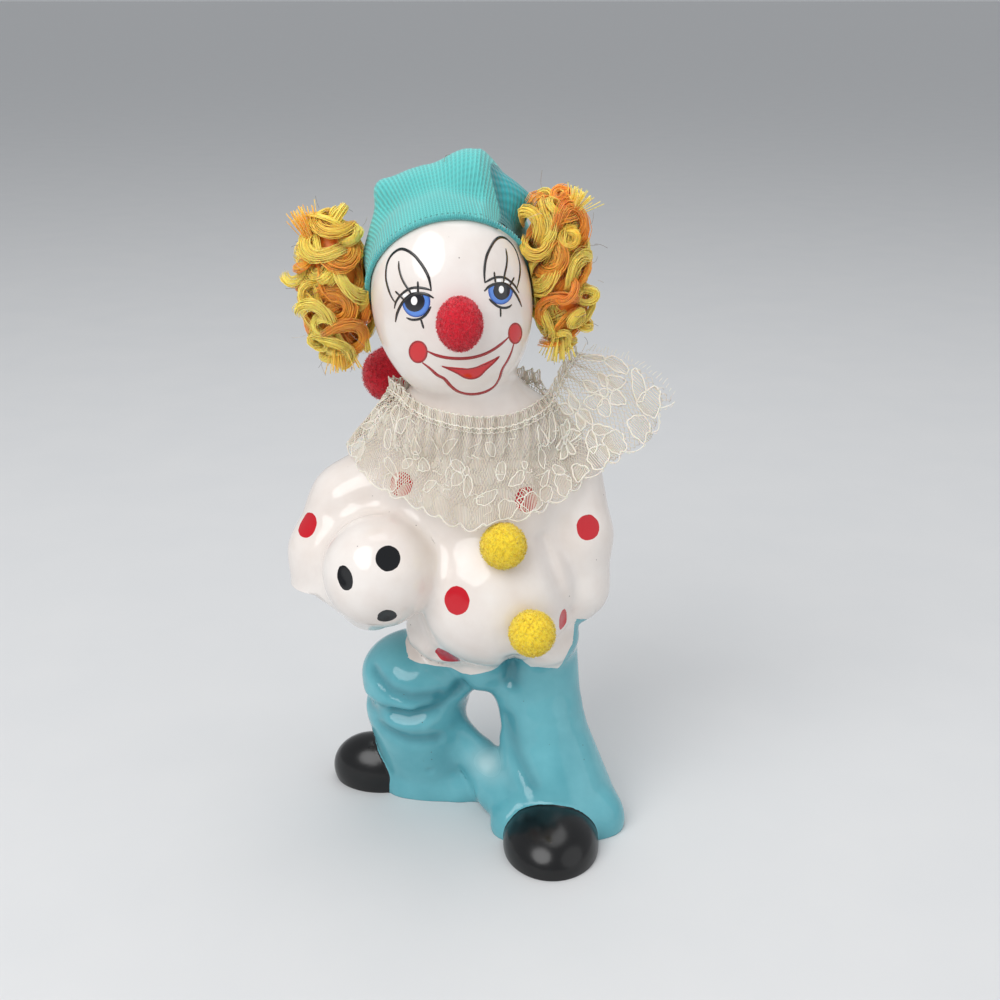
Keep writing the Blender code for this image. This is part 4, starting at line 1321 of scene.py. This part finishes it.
def curl_centres(name, count):
    """Where the curls of a bunch lie: a spiral over its egg, each at its own place."""
    centre, radii, turn = HAIR_PLACES[name]
    rotation = Egg(name, centre, radii, turn=turn).rotation
    inset = 0.36 * CURL_SIZE
    places = []
    ways = []
    for i in range(count):
        height = 1 - 2 * (i + 0.5) / count
        ring = math.sqrt(1 - height * height)
        turned = GOLDEN_ANGLE * i
        way = np.array((ring * math.cos(turned), ring * math.sin(turned), height))
        places.append(np.array(centre, float) + rotation @ (way * (np.array(radii) - inset)))
        ways.append(rotation @ (way / np.array(radii)))
    return np.array(places), lined_up(np.array(ways))


def lock_fibres(route, axis, half_wide, half_thick, count, dice):
    """Fibres side by side along the route of a lock: rows of spots, one for each fibre."""
    ways = lined_up(np.gradient(route, axis=0))
    broad = lined_up(np.broadcast_to(axis, route.shape) - (ways * axis).sum(axis=1)[:, None] * ways)
    thick = np.cross(ways, broad)
    angles = 2 * math.pi * (np.arange(count) + dice.uniform(-0.3, 0.3, count)) / count
    inward = dice.uniform(0.5, 1.0, count)
    steps = np.linspace(0, 1, len(route))
    turn = angles[:, None] + 0.9 * steps[None, :]
    swing = 1 + 0.2 * np.sin(2 * math.pi * (steps[None, :] * 1.5 + dice.uniform(0, 1, (count, 1))))
    wide = half_wide * inward[:, None] * swing * np.cos(turn)
    deep = half_thick * inward[:, None] * swing * np.sin(turn)
    return route[None] + wide[..., None] * broad[None] + deep[..., None] * thick[None]


def coiled_route(place, way, dice, facing=0.5):
    """The route of a ringlet: a lock wound inwards, with both its ends tucked under it."""
    axis = lined_up(way + dice.normal(0, facing, 3))
    start = lined_up(np.cross(axis, dice.normal(0, 1, 3)))
    side = np.cross(axis, start)
    steps = np.linspace(0, 1, 20)
    angle = 2 * math.pi * dice.uniform(1.15, 1.6) * steps
    wide = dice.uniform(2.6, 4.0) * (1 - 0.35 * steps)
    ring = np.cos(angle)[:, None] * start + dice.uniform(0.7, 1.0) * np.sin(angle)[:, None] * side
    rise = 1.7 * steps - 0.8
    tucked = 3.4 * np.maximum(0.2 - steps, 0) / 0.2 + 2.4 * np.maximum(steps - 0.88, 0) / 0.12
    return place + wide[:, None] * ring + rise[:, None] * axis - tucked[:, None] * way, axis


def swirled_route(place, way, dice):
    """The route of a broad lock that bends round part of a turn and dips in at both ends."""
    start = lined_up(np.cross(way, dice.normal(0, 1, 3)))
    side = np.cross(way, start)
    steps = np.linspace(0, 1, 12)
    angle = 2 * math.pi * dice.uniform(0.4, 0.75) * (steps - 0.5)
    wide = dice.uniform(3.6, 6.0)
    ring = (np.cos(angle) - 0.5)[:, None] * start + np.sin(angle)[:, None] * side
    from_middle = np.abs(2 * steps - 1)
    depth = 4.2 * from_middle**3 - dice.uniform(-0.4, 0.8)
    return place + wide * ring - depth[:, None] * way


def make_hair(name, finish, seed):
    """A bunch of ringlets: each lock is wound in a ring or swept over the bunch, fibre by fibre."""
    dice = np.random.default_rng(seed)
    hair = Strands()
    centre, radii, turn = HAIR_PLACES[name]

    def seat(points):
        return head_and_cap(points) - HAIR_SEAT_GAP

    def add_lock(route, axis, half_wide, half_thick, count, shade):
        fibres = lock_fibres(route, axis, half_wide, half_thick, count, dice)
        flat = push_out(seat, fibres.reshape(-1, 3), 0.2, turns=3)
        fibres = flat.reshape(fibres.shape)
        taper = np.full(len(route), FIBRE_RADIUS)
        taper[[0, -1]] *= 0.5
        shades = np.clip(shade + dice.normal(0, 0.07, count), 0, 1)
        hair.add_threads(fibres, lined_up(axis), taper, shades, lights=dice.uniform(0, 1, count))

    places, ways = curl_centres(name, LOCKS_PER_BUNCH)
    for place, way in zip(places, ways):
        if dice.uniform() < RINGLET_CHANCE:
            route, axis = coiled_route(place, way, dice)
            add_lock(route, axis, *RINGLET, dice.choice(LOCK_SHADES))
        else:
            route = swirled_route(place, way, dice)
            add_lock(route, way, 0.9, dice.uniform(1.7, 2.7), 40, dice.choice(LOCK_SHADES))
    for place, way in EXTRA_LOCKS[name]:
        way = lined_up(np.array(way, float))
        route = swirled_route(np.array(place, float), way, dice)
        add_lock(route, way, *STANDING_LOCK, dice.choice(LOCK_SHADES))
    places, ways = curl_centres(name, SWIRLS_BELOW)
    for place, way in zip(places, ways):
        route = swirled_route(place - 2.0 * way, way, dice)
        add_lock(route, way, *UNDER_LOCK, dice.choice(LOCK_SHADES))
    for root, way, long in TUFTS[name]:
        add_tuft(hair, np.array(root, float), lined_up(np.array(way, float)), long, dice)

    core = Egg("core", centre, np.array(radii) - CORE_UNDER_LOCKS, turn=turn)
    bm = bmesh.new()
    core.block_out(bm)
    mesh = bpy.data.meshes.new("core")
    bm.to_mesh(mesh)
    bm.free()
    spots = push_out(seat, points_of(mesh), 0.2)
    faces = [tuple(face.vertices) for face in mesh.polygons]
    made = hair.mesh(name)
    # The core is deep orange and takes no light, so it shows darker: painted shade deep in the bunch.
    add_core(made, spots, faces, 0.9)
    return dressed(name + "_ringlets", made, [finish], [name])


def add_tuft(hair, root, way, long, dice):
    """A fan of straight fibres that end where the hair was cut."""
    count = 60
    spread = dice.normal(0, 1, (count, 3))
    spread -= (spread @ way)[:, None] * way
    steps = np.linspace(0, 1, 7)
    reach = long * dice.uniform(0.75, 1.05, count)
    fan = 0.9 + 1.3 * steps
    line = root + (reach[:, None] * steps)[..., None] * way + spread[:, None, :] * fan[None, :, None]
    shades = dice.choice(LOCK_SHADES) * 0.6 + dice.normal(0, 0.07, count)
    taper = np.full(7, FIBRE_RADIUS)
    lights = dice.uniform(0, 1, count)
    hair.add_threads(line, spread[:, None, :], taper, np.clip(shades, 0, 1), lights=lights)


def add_core(mesh, spots, faces, core_shade):
    """Adds the closed core under the fibres to their mesh."""
    bm = bmesh.new()
    bm.from_mesh(mesh)
    shade = bm.verts.layers.float["shade"]
    light = bm.verts.layers.float["light"]
    corners = [bm.verts.new(spot) for spot in spots]
    for corner in corners:
        corner[shade] = core_shade
        # No light: in the doll hair's finish this paints the core darker, as shade inside the bunch.
        corner[light] = 0.0
    for face in faces:
        bm.faces.new([corners[i] for i in face])
    bm.to_mesh(mesh)
    bm.free()


def node_ball(node):
    """The middle and the radius of a pompom's node, in shares."""
    low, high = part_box(node)
    middle = np.array((low + high) / 2) / SHARE
    size = np.array(high - low) / SHARE
    return middle + np.array((FLOOR_MIDDLE[0], FLOOR_MIDDLE[1], 0.0)), size.max() / 2


def make_pompom(name, node, finish, carrier, count, stretch=(1.0, 1.0, 1.0)):
    """A yarn pompom: a dense ball of clipped fibres that stand out every way."""
    dice = np.random.default_rng(count)
    yarn = Strands()
    middle, radius = node_ball(node)
    stretch = np.array(stretch)
    order = np.arange(count) + 0.5
    height = 1 - 2 * order / count
    ring = np.sqrt(1 - height**2)
    turned = GOLDEN_ANGLE * order
    ways = np.column_stack([ring * np.cos(turned), ring * np.sin(turned), height])
    ways = lined_up(ways + dice.normal(0, 0.03, ways.shape))
    lean = dice.normal(0, 0.13, ways.shape)
    long = dice.uniform(0.95, 1.03, (count, 1))
    root = middle + YARN_ROOT * radius * ways * stretch
    mid = middle + YARN_CORE * radius * lined_up(ways + 0.5 * lean) * stretch
    tip = middle + long * radius * lined_up(ways + lean) * stretch
    spots = np.stack([root, mid, tip], axis=1)
    spots = push_out(carrier, spots.reshape(-1, 3), 0.1, turns=3).reshape(spots.shape)
    shades = dice.uniform(0.1, 0.9, count)
    yarn.add_threads(spots, lined_up(lean)[:, None, :], (0.15, 0.12, 0.05), shades)
    bm = bmesh.new()
    bmesh.ops.create_icosphere(bm, subdivisions=5, radius=YARN_CORE * radius)
    core = bpy.data.meshes.new("core")
    bm.to_mesh(core)
    bm.free()
    spots = push_out(carrier, points_of(core) * stretch + middle, 0.1)
    faces = [tuple(face.vertices) for face in core.polygons]
    mesh = yarn.mesh(name)
    # The core is painted a little deeper than the fibres on average: painted shade between them.
    add_core(mesh, spots, faces, 0.4)
    return dressed(name, mesh, [finish], [node])


def lace_clear_of(points):
    """The distance from everything that the lace lies on or beside."""
    found = cast_distance(points)
    for node in ("cap_pompom", "button_upper", "button_lower"):
        middle, radius = node_ball(node)
        found = np.minimum(found, np.linalg.norm(points - middle, axis=1) - radius)
    found = np.minimum(found, cap_outside(points))
    for name, (centre, radii, turn) in HAIR_PLACES.items():
        found = np.minimum(found, Egg(name, centre, np.array(radii) - 1.5, turn=turn).distance(points))
    return found


LACE_HEADER = 3.2
LACE_LONG = 250.0
LACE_FLAP = 205.0
# The share of the strip that the scallops leave.
HATCH_PITCH = 0.62
# The radii of the lace's threads and cords.
NET_THREAD = 0.13
HATCH_THREAD = 0.14
PICOT_THREAD = 0.12
PETAL_CORD = 0.19
STEM_CORD = 0.17
EDGE_CORD = 0.2
# The share of the petals that have no cord round them, and how much stouter the flap's are.
UNCORDED = 0.45
FLAP_STOUTER = 1.5
NET_PITCH = 1.25
NET_STEP = 0.7
NET_SLANT = 0.62


def lace_ground():
    """A fine grid of spots over the gathered lace, from the top of its header to its edge."""
    stations = [start + fall + (bow,) for start, fall, bow in LACE_STATIONS]
    rows = smooth_route(stations, 480)
    neckline, fall, bow = rows[:, :3], rows[:, 3:6], rows[:, 6:]
    along = np.linspace(0, 1, len(rows))
    wave = np.sin(2 * math.pi * LACE_RUFFLES * along)
    gather = np.sin(2 * math.pi * 44 * along + 0.8 * np.sin(2 * math.pi * 9 * along))
    lines = []
    shares = np.linspace(-LACE_HEADER / LACE_WIDTH, 1.0, 30)
    for share in shares:
        if share < 0:
            spots = neckline - share * LACE_WIDTH * (UP * 0.9 - 0.25 * lined_up(fall))
            ripple = 1.0 * gather * (share / shares[0])
        else:
            spots = neckline + fall * share + bow * UP * 4 * share * (1 - share)
            ripple = 0.7 * gather * np.exp(-share * 3)
        spots = push_out(lace_clear_of, spots, LACE_CLEARANCE, turns=4)
        away = lined_up(slope_of(cast_distance, spots))
        rise = LACE_RUFFLE * max(share, 0.0) * (1 + wave) + ripple + 0.4
        spots = spots + away * np.maximum(rise, 0.0)[:, None]
        lines.append(push_out(lace_clear_of, spots, LACE_CLEARANCE, turns=3))
    grid = np.array(lines)
    along_way = np.gradient(grid, axis=1)
    down_way = np.gradient(grid, axis=0)
    outs = lined_up(np.cross(down_way, along_way))
    return grid, outs


class LaceCloth:
    """Takes a spot of the flat lace to its place on the gathered collar."""

    def __init__(self):
        self.grid, self.outs = lace_ground()

    def place(self, flat, lift=0.0):
        """Flat is (..., 2): how far along the lace and how far down from its gathers."""
        rows, columns = self.grid.shape[:2]
        along = np.clip(flat[..., 0] / LACE_LONG, 0, 1) * (columns - 1)
        down = np.clip((flat[..., 1] + LACE_HEADER) / (LACE_WIDTH + LACE_HEADER), 0, 1) * (rows - 1)
        column = np.clip(along.astype(int), 0, columns - 2)
        row = np.clip(down.astype(int), 0, rows - 2)
        u = (along - column)[..., None]
        v = (down - row)[..., None]

        def read(table):
            upper = table[row, column] * (1 - u) + table[row, column + 1] * u
            lower = table[row + 1, column] * (1 - u) + table[row + 1, column + 1] * u
            return upper * (1 - v) + lower * v

        outs = lined_up(read(self.outs))
        return read(self.grid) + lift * outs, outs


# The lace's pattern: each motif is an oval of the flat lace, with its middle, radii and turn.
REPEAT = 25.0
FLOWER = (0.0, 13.5)
PETALS = 6


def lace_ovals():
    """Every petal, leaf and scallop of one repeat of the lace: middle, radii and turn."""
    ovals = []
    for k in range(PETALS):
        turn = 2 * math.pi * k / PETALS + 0.3
        middle = (FLOWER[0] + 5.0 * math.cos(turn), FLOWER[1] + 4.6 * math.sin(turn))
        ovals.append((middle, (3.1, 1.95), turn))
    ovals.append((FLOWER, (1.5, 1.5), 0.0))
    for side in (-1, 1):
        ovals.append(((side * 9.6, 6.0), (3.6, 1.7), side * 0.9))
        ovals.append(((side * 10.2, 13.5), (2.0, 3.8), side * 0.15))
        ovals.append(((side * 9.0, 21.0), (3.7, 1.7), -side * 0.6))
    for k in range(3):
        ovals.append(((-REPEAT / 3 + k * REPEAT / 3, 26.4), (3.7, 3.4), 0.0))
    return ovals


def inside_ovals(flat, ovals, grown=0.0):
    """Which spots of the flat lace lie in any of the ovals."""
    found = np.zeros(flat.shape[:-1], bool)
    for middle, radii, turn in ovals:
        along = flat[..., 0] - middle[0]
        down = flat[..., 1] - middle[1]
        across = (math.cos(turn) * along + math.sin(turn) * down) / (radii[0] + grown)
        deep = (-math.sin(turn) * along + math.cos(turn) * down) / (radii[1] + grown)
        found |= across**2 + deep**2 < 1
    return found


def scallop_edge(along):
    """How far down the lace reaches: a scallop at each third of a repeat."""
    return LACE_WIDTH - 2.2 * (1 - np.abs(np.cos(3 * math.pi * along / REPEAT)))


def make_lace(finish):
    """The collar, thread by thread: net, hatched petals and leaves in cord, and a scalloped edge."""
    cloth = LaceCloth()
    lace = Strands()
    repeats = int(LACE_LONG / REPEAT)
    dice = np.random.default_rng(5)
    ovals = []
    for r in range(-1, repeats + 1):
        for (x, y), radii, turn in lace_ovals():
            place = (x + (r + 0.5) * REPEAT + dice.normal(0, 0.35), y + dice.normal(0, 0.35))
            sizes = np.array(radii) * dice.uniform(0.8, 1.15, 2)
            ovals.append((place, tuple(sizes), turn + dice.normal(0, 0.22)))

    # The net: two families of slanting threads, left out where a motif covers them.
    for side in (-1, 1):
        starts = np.arange(-LACE_WIDTH, LACE_LONG + LACE_WIDTH, NET_PITCH)
        down = np.arange(0.0, LACE_WIDTH, NET_STEP)
        for start in starts:
            wobble = 0.22 * np.sin(2 * math.pi * down / NET_PITCH + start)
            flat = np.column_stack([start + side * NET_SLANT * down + wobble, down])
            keep = (flat[:, 0] > 0.3) & (flat[:, 0] < LACE_LONG - 0.3)
            keep &= flat[:, 1] < scallop_edge(flat[:, 0]) - 0.3
            middles = (flat[:-1] + flat[1:]) / 2
            near = [o for o in ovals if abs(o[0][0] - start - side * 9) < 26]
            shown = keep[:-1] & keep[1:] & ~inside_ovals(middles, near, -0.2)
            for run in runs_of(shown):
                spots, outs = cloth.place(flat[run[0] : run[1] + 2][None])
                # The net's threads take a low shade, which paints them darker: painted shade.
                lace.add_threads(spots, outs, NET_THREAD, 0.35, sides=3)
    # The motifs: threads close together along the fall of the lace, edged in cord.
    for middle, radii, turn in ovals:
        if not 2 < middle[0] < LACE_LONG - 2:
            continue
        add_motif(lace, cloth, middle, radii, turn, dice)
    add_wandering_cords(lace, cloth, dice)
    add_lace_edges(lace, cloth, dice)
    mesh = lace.mesh("lace")
    collar = dressed("lace_threads", mesh, [finish], ["lace_collar"])
    return collar


def runs_of(shown):
    """The first and last place of each unbroken run of true values."""
    padded = np.concatenate([[False], shown, [False]])
    changes = np.flatnonzero(padded[1:] != padded[:-1])
    return [(start, end - 1) for start, end in zip(changes[::2], changes[1::2])]


def add_motif(lace, cloth, middle, radii, turn, dice):
    """A petal or a leaf: hatched threads down the lace, some with an uneven cord round them."""
    x, y = middle
    a, b = radii
    slant = dice.uniform(-0.15, 0.15)
    stout = FLAP_STOUTER if x > LACE_FLAP else 1.0
    # Where a line of the hatch meets the oval follows from the oval's equation.
    wide = math.hypot(a * math.cos(turn), b * math.sin(turn))
    for offset in np.arange(-wide + 0.3, wide - 0.1, HATCH_PITCH):
        p = (math.cos(turn) / a) ** 2 + (math.sin(turn) / b) ** 2
        q = math.cos(turn) * math.sin(turn) * (1 / a**2 - 1 / b**2)
        s = (math.sin(turn) / a) ** 2 + (math.cos(turn) / b) ** 2
        under_root = (q * offset) ** 2 - s * (p * offset**2 - 1)
        if under_root <= 0.01:
            continue
        half = math.sqrt(under_root) / s
        mid = -q * offset / s
        down = np.linspace(mid - half, mid + half, max(3, int(2 * half) + 2))
        flat = np.column_stack([x + offset + slant * down, y + down])
        spots, outs = cloth.place(flat[None], 0.06)
        lace.add_threads(spots, outs, HATCH_THREAD * stout, dice.uniform(0.4, 0.75))
    if x < LACE_FLAP and dice.random() < UNCORDED:
        return
    round_it = np.linspace(0, 2 * math.pi, int(3.6 * (a + b)) + 6)
    lobes = 1 + 0.1 * np.sin(3 * round_it + dice.uniform(0, 6)) + 0.06 * np.sin(7 * round_it)
    along = a * lobes * np.cos(round_it)
    deep = b * lobes * np.sin(round_it) * (1 - 0.25 * np.cos(round_it))
    flat = np.column_stack([
        x + math.cos(turn) * along - math.sin(turn) * deep,
        y + math.sin(turn) * along + math.cos(turn) * deep,
    ])
    flat[:, 1] = np.minimum(flat[:, 1], scallop_edge(flat[:, 0]))
    spots, outs = cloth.place(flat[None], 0.15)
    lace.add_threads(spots, outs, PETAL_CORD * stout, 0.9, sides=4)


def add_wandering_cords(lace, cloth, dice):
    """Stems and stray cords that wander over the net between the petals."""
    for start in np.arange(3.0, LACE_LONG - 12.0, 2.6):
        long = dice.uniform(4.0, 9.0)
        steps = np.linspace(0, 1, 14)
        top = dice.uniform(1.5, LACE_WIDTH - 7.0)
        swing = dice.uniform(0.6, 1.8) * np.sin(2 * math.pi * steps * dice.uniform(0.7, 1.6))
        lean = dice.uniform(-1.0, 1.0)
        across = start + lean * long * steps + swing
        flat = np.column_stack([across, top + (1 - abs(lean)) * long * steps])
        flat[:, 1] = np.minimum(flat[:, 1] + 0.5 * swing, scallop_edge(flat[:, 0]) - 0.3)
        spots, outs = cloth.place(flat[None], 0.16)
        lace.add_threads(spots, outs, STEM_CORD, 0.85)


def add_lace_edges(lace, cloth, dice):
    """The cord and picots of the scalloped edge, the gathering stitches and the header's loops."""
    along = np.arange(0.4, LACE_LONG - 0.4, 0.5)
    edge = np.column_stack([along, scallop_edge(along)])
    spots, outs = cloth.place(edge[None], 0.1)
    lace.add_threads(spots, outs, EDGE_CORD, 0.9, sides=4)
    for start in np.arange(1.0, LACE_LONG - 1.0, 1.25):
        turn = np.linspace(0, math.pi, 6)
        below = scallop_edge(start) + 0.55 * np.sin(turn)
        loop = np.column_stack([start - 0.5 * np.cos(turn), below])
        loop[:, 1] = np.minimum(loop[:, 1], LACE_WIDTH)
        spots, outs = cloth.place(loop[None], 0.1)
        lace.add_threads(spots, outs, PICOT_THREAD, 0.8)
    for down, lift, radius in ((0.0, 0.25, 0.26), (1.2, 0.2, 0.16), (-LACE_HEADER + 0.2, 0.0, 0.2)):
        line = np.column_stack([along, down + 0.18 * np.sin(2 * math.pi * along / 2.2)])
        spots, outs = cloth.place(line[None], lift)
        lace.add_threads(spots, outs, radius, 0.85, sides=4)
    for start in np.arange(0.6, LACE_LONG - 0.6, 0.75):
        down = np.linspace(-LACE_HEADER + 0.2, 1.2, 5)
        line = np.column_stack([start + 0.35 * np.sin(3.0 * down), down])
        spots, outs = cloth.place(line[None], 0.05)
        lace.add_threads(spots, outs, EDGE_CORD, dice.uniform(0.4, 0.8))
    # Threads have pulled loose at the cut ends of the lace.
    for end in (0.0, LACE_LONG):
        for down in np.arange(1.0, LACE_WIDTH - 1.0, 1.1):
            spots, outs = cloth.place(np.array([[[end, down], [abs(end - 1.0), down]]]))
            root = spots[0, 0]
            way = lined_up(spots[0, 0] - spots[0, 1] + dice.normal(0, 0.25, 3))
            steps = np.linspace(0, dice.uniform(0.8, 2.6), 6)
            curl = lined_up(dice.normal(0, 1, 3))
            line = root + steps[:, None] * way + (0.12 * steps**2)[:, None] * curl
            lace.add_threads(line[None], outs[0, 0], 0.1, 0.7)


def make_stray_fibres(finish):
    """Lint and loose fibres that stand off the hair and the cap."""
    dice = np.random.default_rng(11)
    lint = Strands()
    for name in HAIR_PLACES:
        places, ways = curl_centres(name, 60)
        for place, way in zip(places, ways):
            if dice.uniform() < 0.45 or abs(way[0]) < 0.2 and way[2] < 0.3:
                continue
            root = place + 2.2 * way
            if head_and_cap(root[None])[0] < 2.0:
                continue
            side = lined_up(np.cross(way, dice.normal(0, 1, 3)))
            steps = np.linspace(0, 1, 8)
            long = dice.uniform(1.6, 4.2)
            curve = dice.uniform(0.3, 1.6) * steps**2
            line = root + (long * steps)[:, None] * way + (long * curve)[:, None] * side
            lint.add_threads(line[None], np.array((0.3, 0.9, 0.2)), 0.06, dice.uniform(0.1, 1.0))
    end = seen_at(np.array([(444, 162), (444, 155)]), cap_outside)[0]
    line = smooth_route([end, end + np.array((0.4, 0, 1.6)), end + np.array((1.6, -0.3, 2.0))], 8)
    lint.add_threads(line[None], np.array((0.0, 1.0, 0.0)), 0.09, 0.4)
    return dressed("stray_fibres", lint.mesh("lint"), [finish])


def lay_floor():
    """A plain pale floor, wide enough to fill the view."""
    made, nodes, shader = new_finish("matt painted board", Roughness=0.6)
    place = add_node(nodes, "TexCoord", {}).outputs["Object"]
    grain = add_node(nodes, "TexNoise", {"Vector": place, "Scale": per_metre(40), "Detail": 3.0})
    colour = add_node(
        nodes,
        "Mix",
        {0: grain.outputs["Fac"], 6: linear("#D4D5D6"), 7: linear("#DADADA")},
        data_type="RGBA",
    )
    nodes.links.new(colour.outputs[2], shader.inputs["Base Color"])
    bm = bmesh.new()
    bmesh.ops.create_grid(bm, x_segments=2, y_segments=2, size=FLOOR_REACH)
    mesh = bpy.data.meshes.new("floor")
    bm.to_mesh(mesh)
    bm.free()
    mesh.materials.append(made)
    floor = bpy.data.objects.new("floor", mesh)
    bpy.context.scene.collection.objects.link(floor)


def in_frame(point):
    """A point in shares as a place in the frame, in metres."""
    along_x = point[0] - FLOOR_MIDDLE[0]
    along_y = point[1] - FLOOR_MIDDLE[1]
    return Vector((SHARE * along_x, SHARE * along_y, SHARE * point[2]))


def place_camera():
    camera = bpy.data.objects.new("camera", bpy.data.cameras.new("camera"))
    camera.data.lens = LENS
    camera.data.sensor_width = SENSOR
    camera.data.clip_start = 0.01
    camera.location = in_frame(camera_place())
    camera.rotation_euler = (math.radians(90 - CAMERA_TILT), 0.0, 0.0)
    bpy.context.scene.collection.objects.link(camera)
    bpy.context.scene.camera = camera


def hang_lights():
    """Soft studio light: large round lamps above in front and beside, and a pale surround."""
    lamps = {
        "key": ((-0.55, -0.75, 0.95), 0.55, 44.0),
        "fill": ((0.9, -0.5, 0.5), 0.6, 8.0),
        "overhead": ((0.1, 0.2, 1.1), 0.45, 14.0),
    }
    for name, (place, radius, power) in lamps.items():
        data = bpy.data.lights.new(name, "POINT")
        data.shadow_soft_size = radius
        data.energy = power
        lamp = bpy.data.objects.new(name, data)
        lamp.location = place
        bpy.context.scene.collection.objects.link(lamp)
    world = bpy.data.worlds.new("studio")
    world.use_nodes = True
    world.node_tree.nodes["Background"].inputs["Color"].default_value = linear("#DDE0E4")
    world.node_tree.nodes["Background"].inputs["Strength"].default_value = 0.6
    bpy.context.scene.world = world
    bpy.context.scene.view_settings.view_transform = "Standard"


def main():
    place_camera()
    hang_lights()
    lay_floor()
    make_figure(glaze_finish())
    paint_face({
        "black": overglaze("black enamel", "#0E0C0C", "#1A1716"),
        "blue": overglaze("blue enamel", "#2A56AE", "#5588DA"),
        "navy": overglaze("navy enamel", "#0A0E2A", "#12131C"),
        "white": overglaze("white enamel", "#F4F1EC", "#FFFFFF"),
        "red": overglaze("red enamel", "#BE0C16", "#D2141C"),
        "dark_red": overglaze("dark red enamel", "#8A0C14", "#A8141C"),
    })
    make_cap()
    make_brim_stitches(yarn_finish("aqua cotton yarn", "#2F9DA3", "#74CFCC"))
    hair = doll_hair_finish()
    make_hair("hair_right", hair, seed=3)
    make_hair("hair_left", hair, seed=8)
    red = yarn_finish("red acrylic yarn", "#C00C24", "#F0203A")
    yellow = yarn_finish("yellow acrylic yarn", "#EBC21C", "#FFEE48")
    make_pompom("nose", "nose_pompom", red, HEAD.distance, 3600, stretch=(1.0, 1.0, 1.18))
    make_pompom("cap_tassel", "cap_pompom", red, cast_distance, 2200)
    make_pompom("upper_button", "button_upper", yellow, cast_distance, 2600)
    make_pompom("lower_button", "button_lower", yellow, cast_distance, 2601)
    make_lace(lace_finish())
    make_stray_fibres(lint_finish())


main()
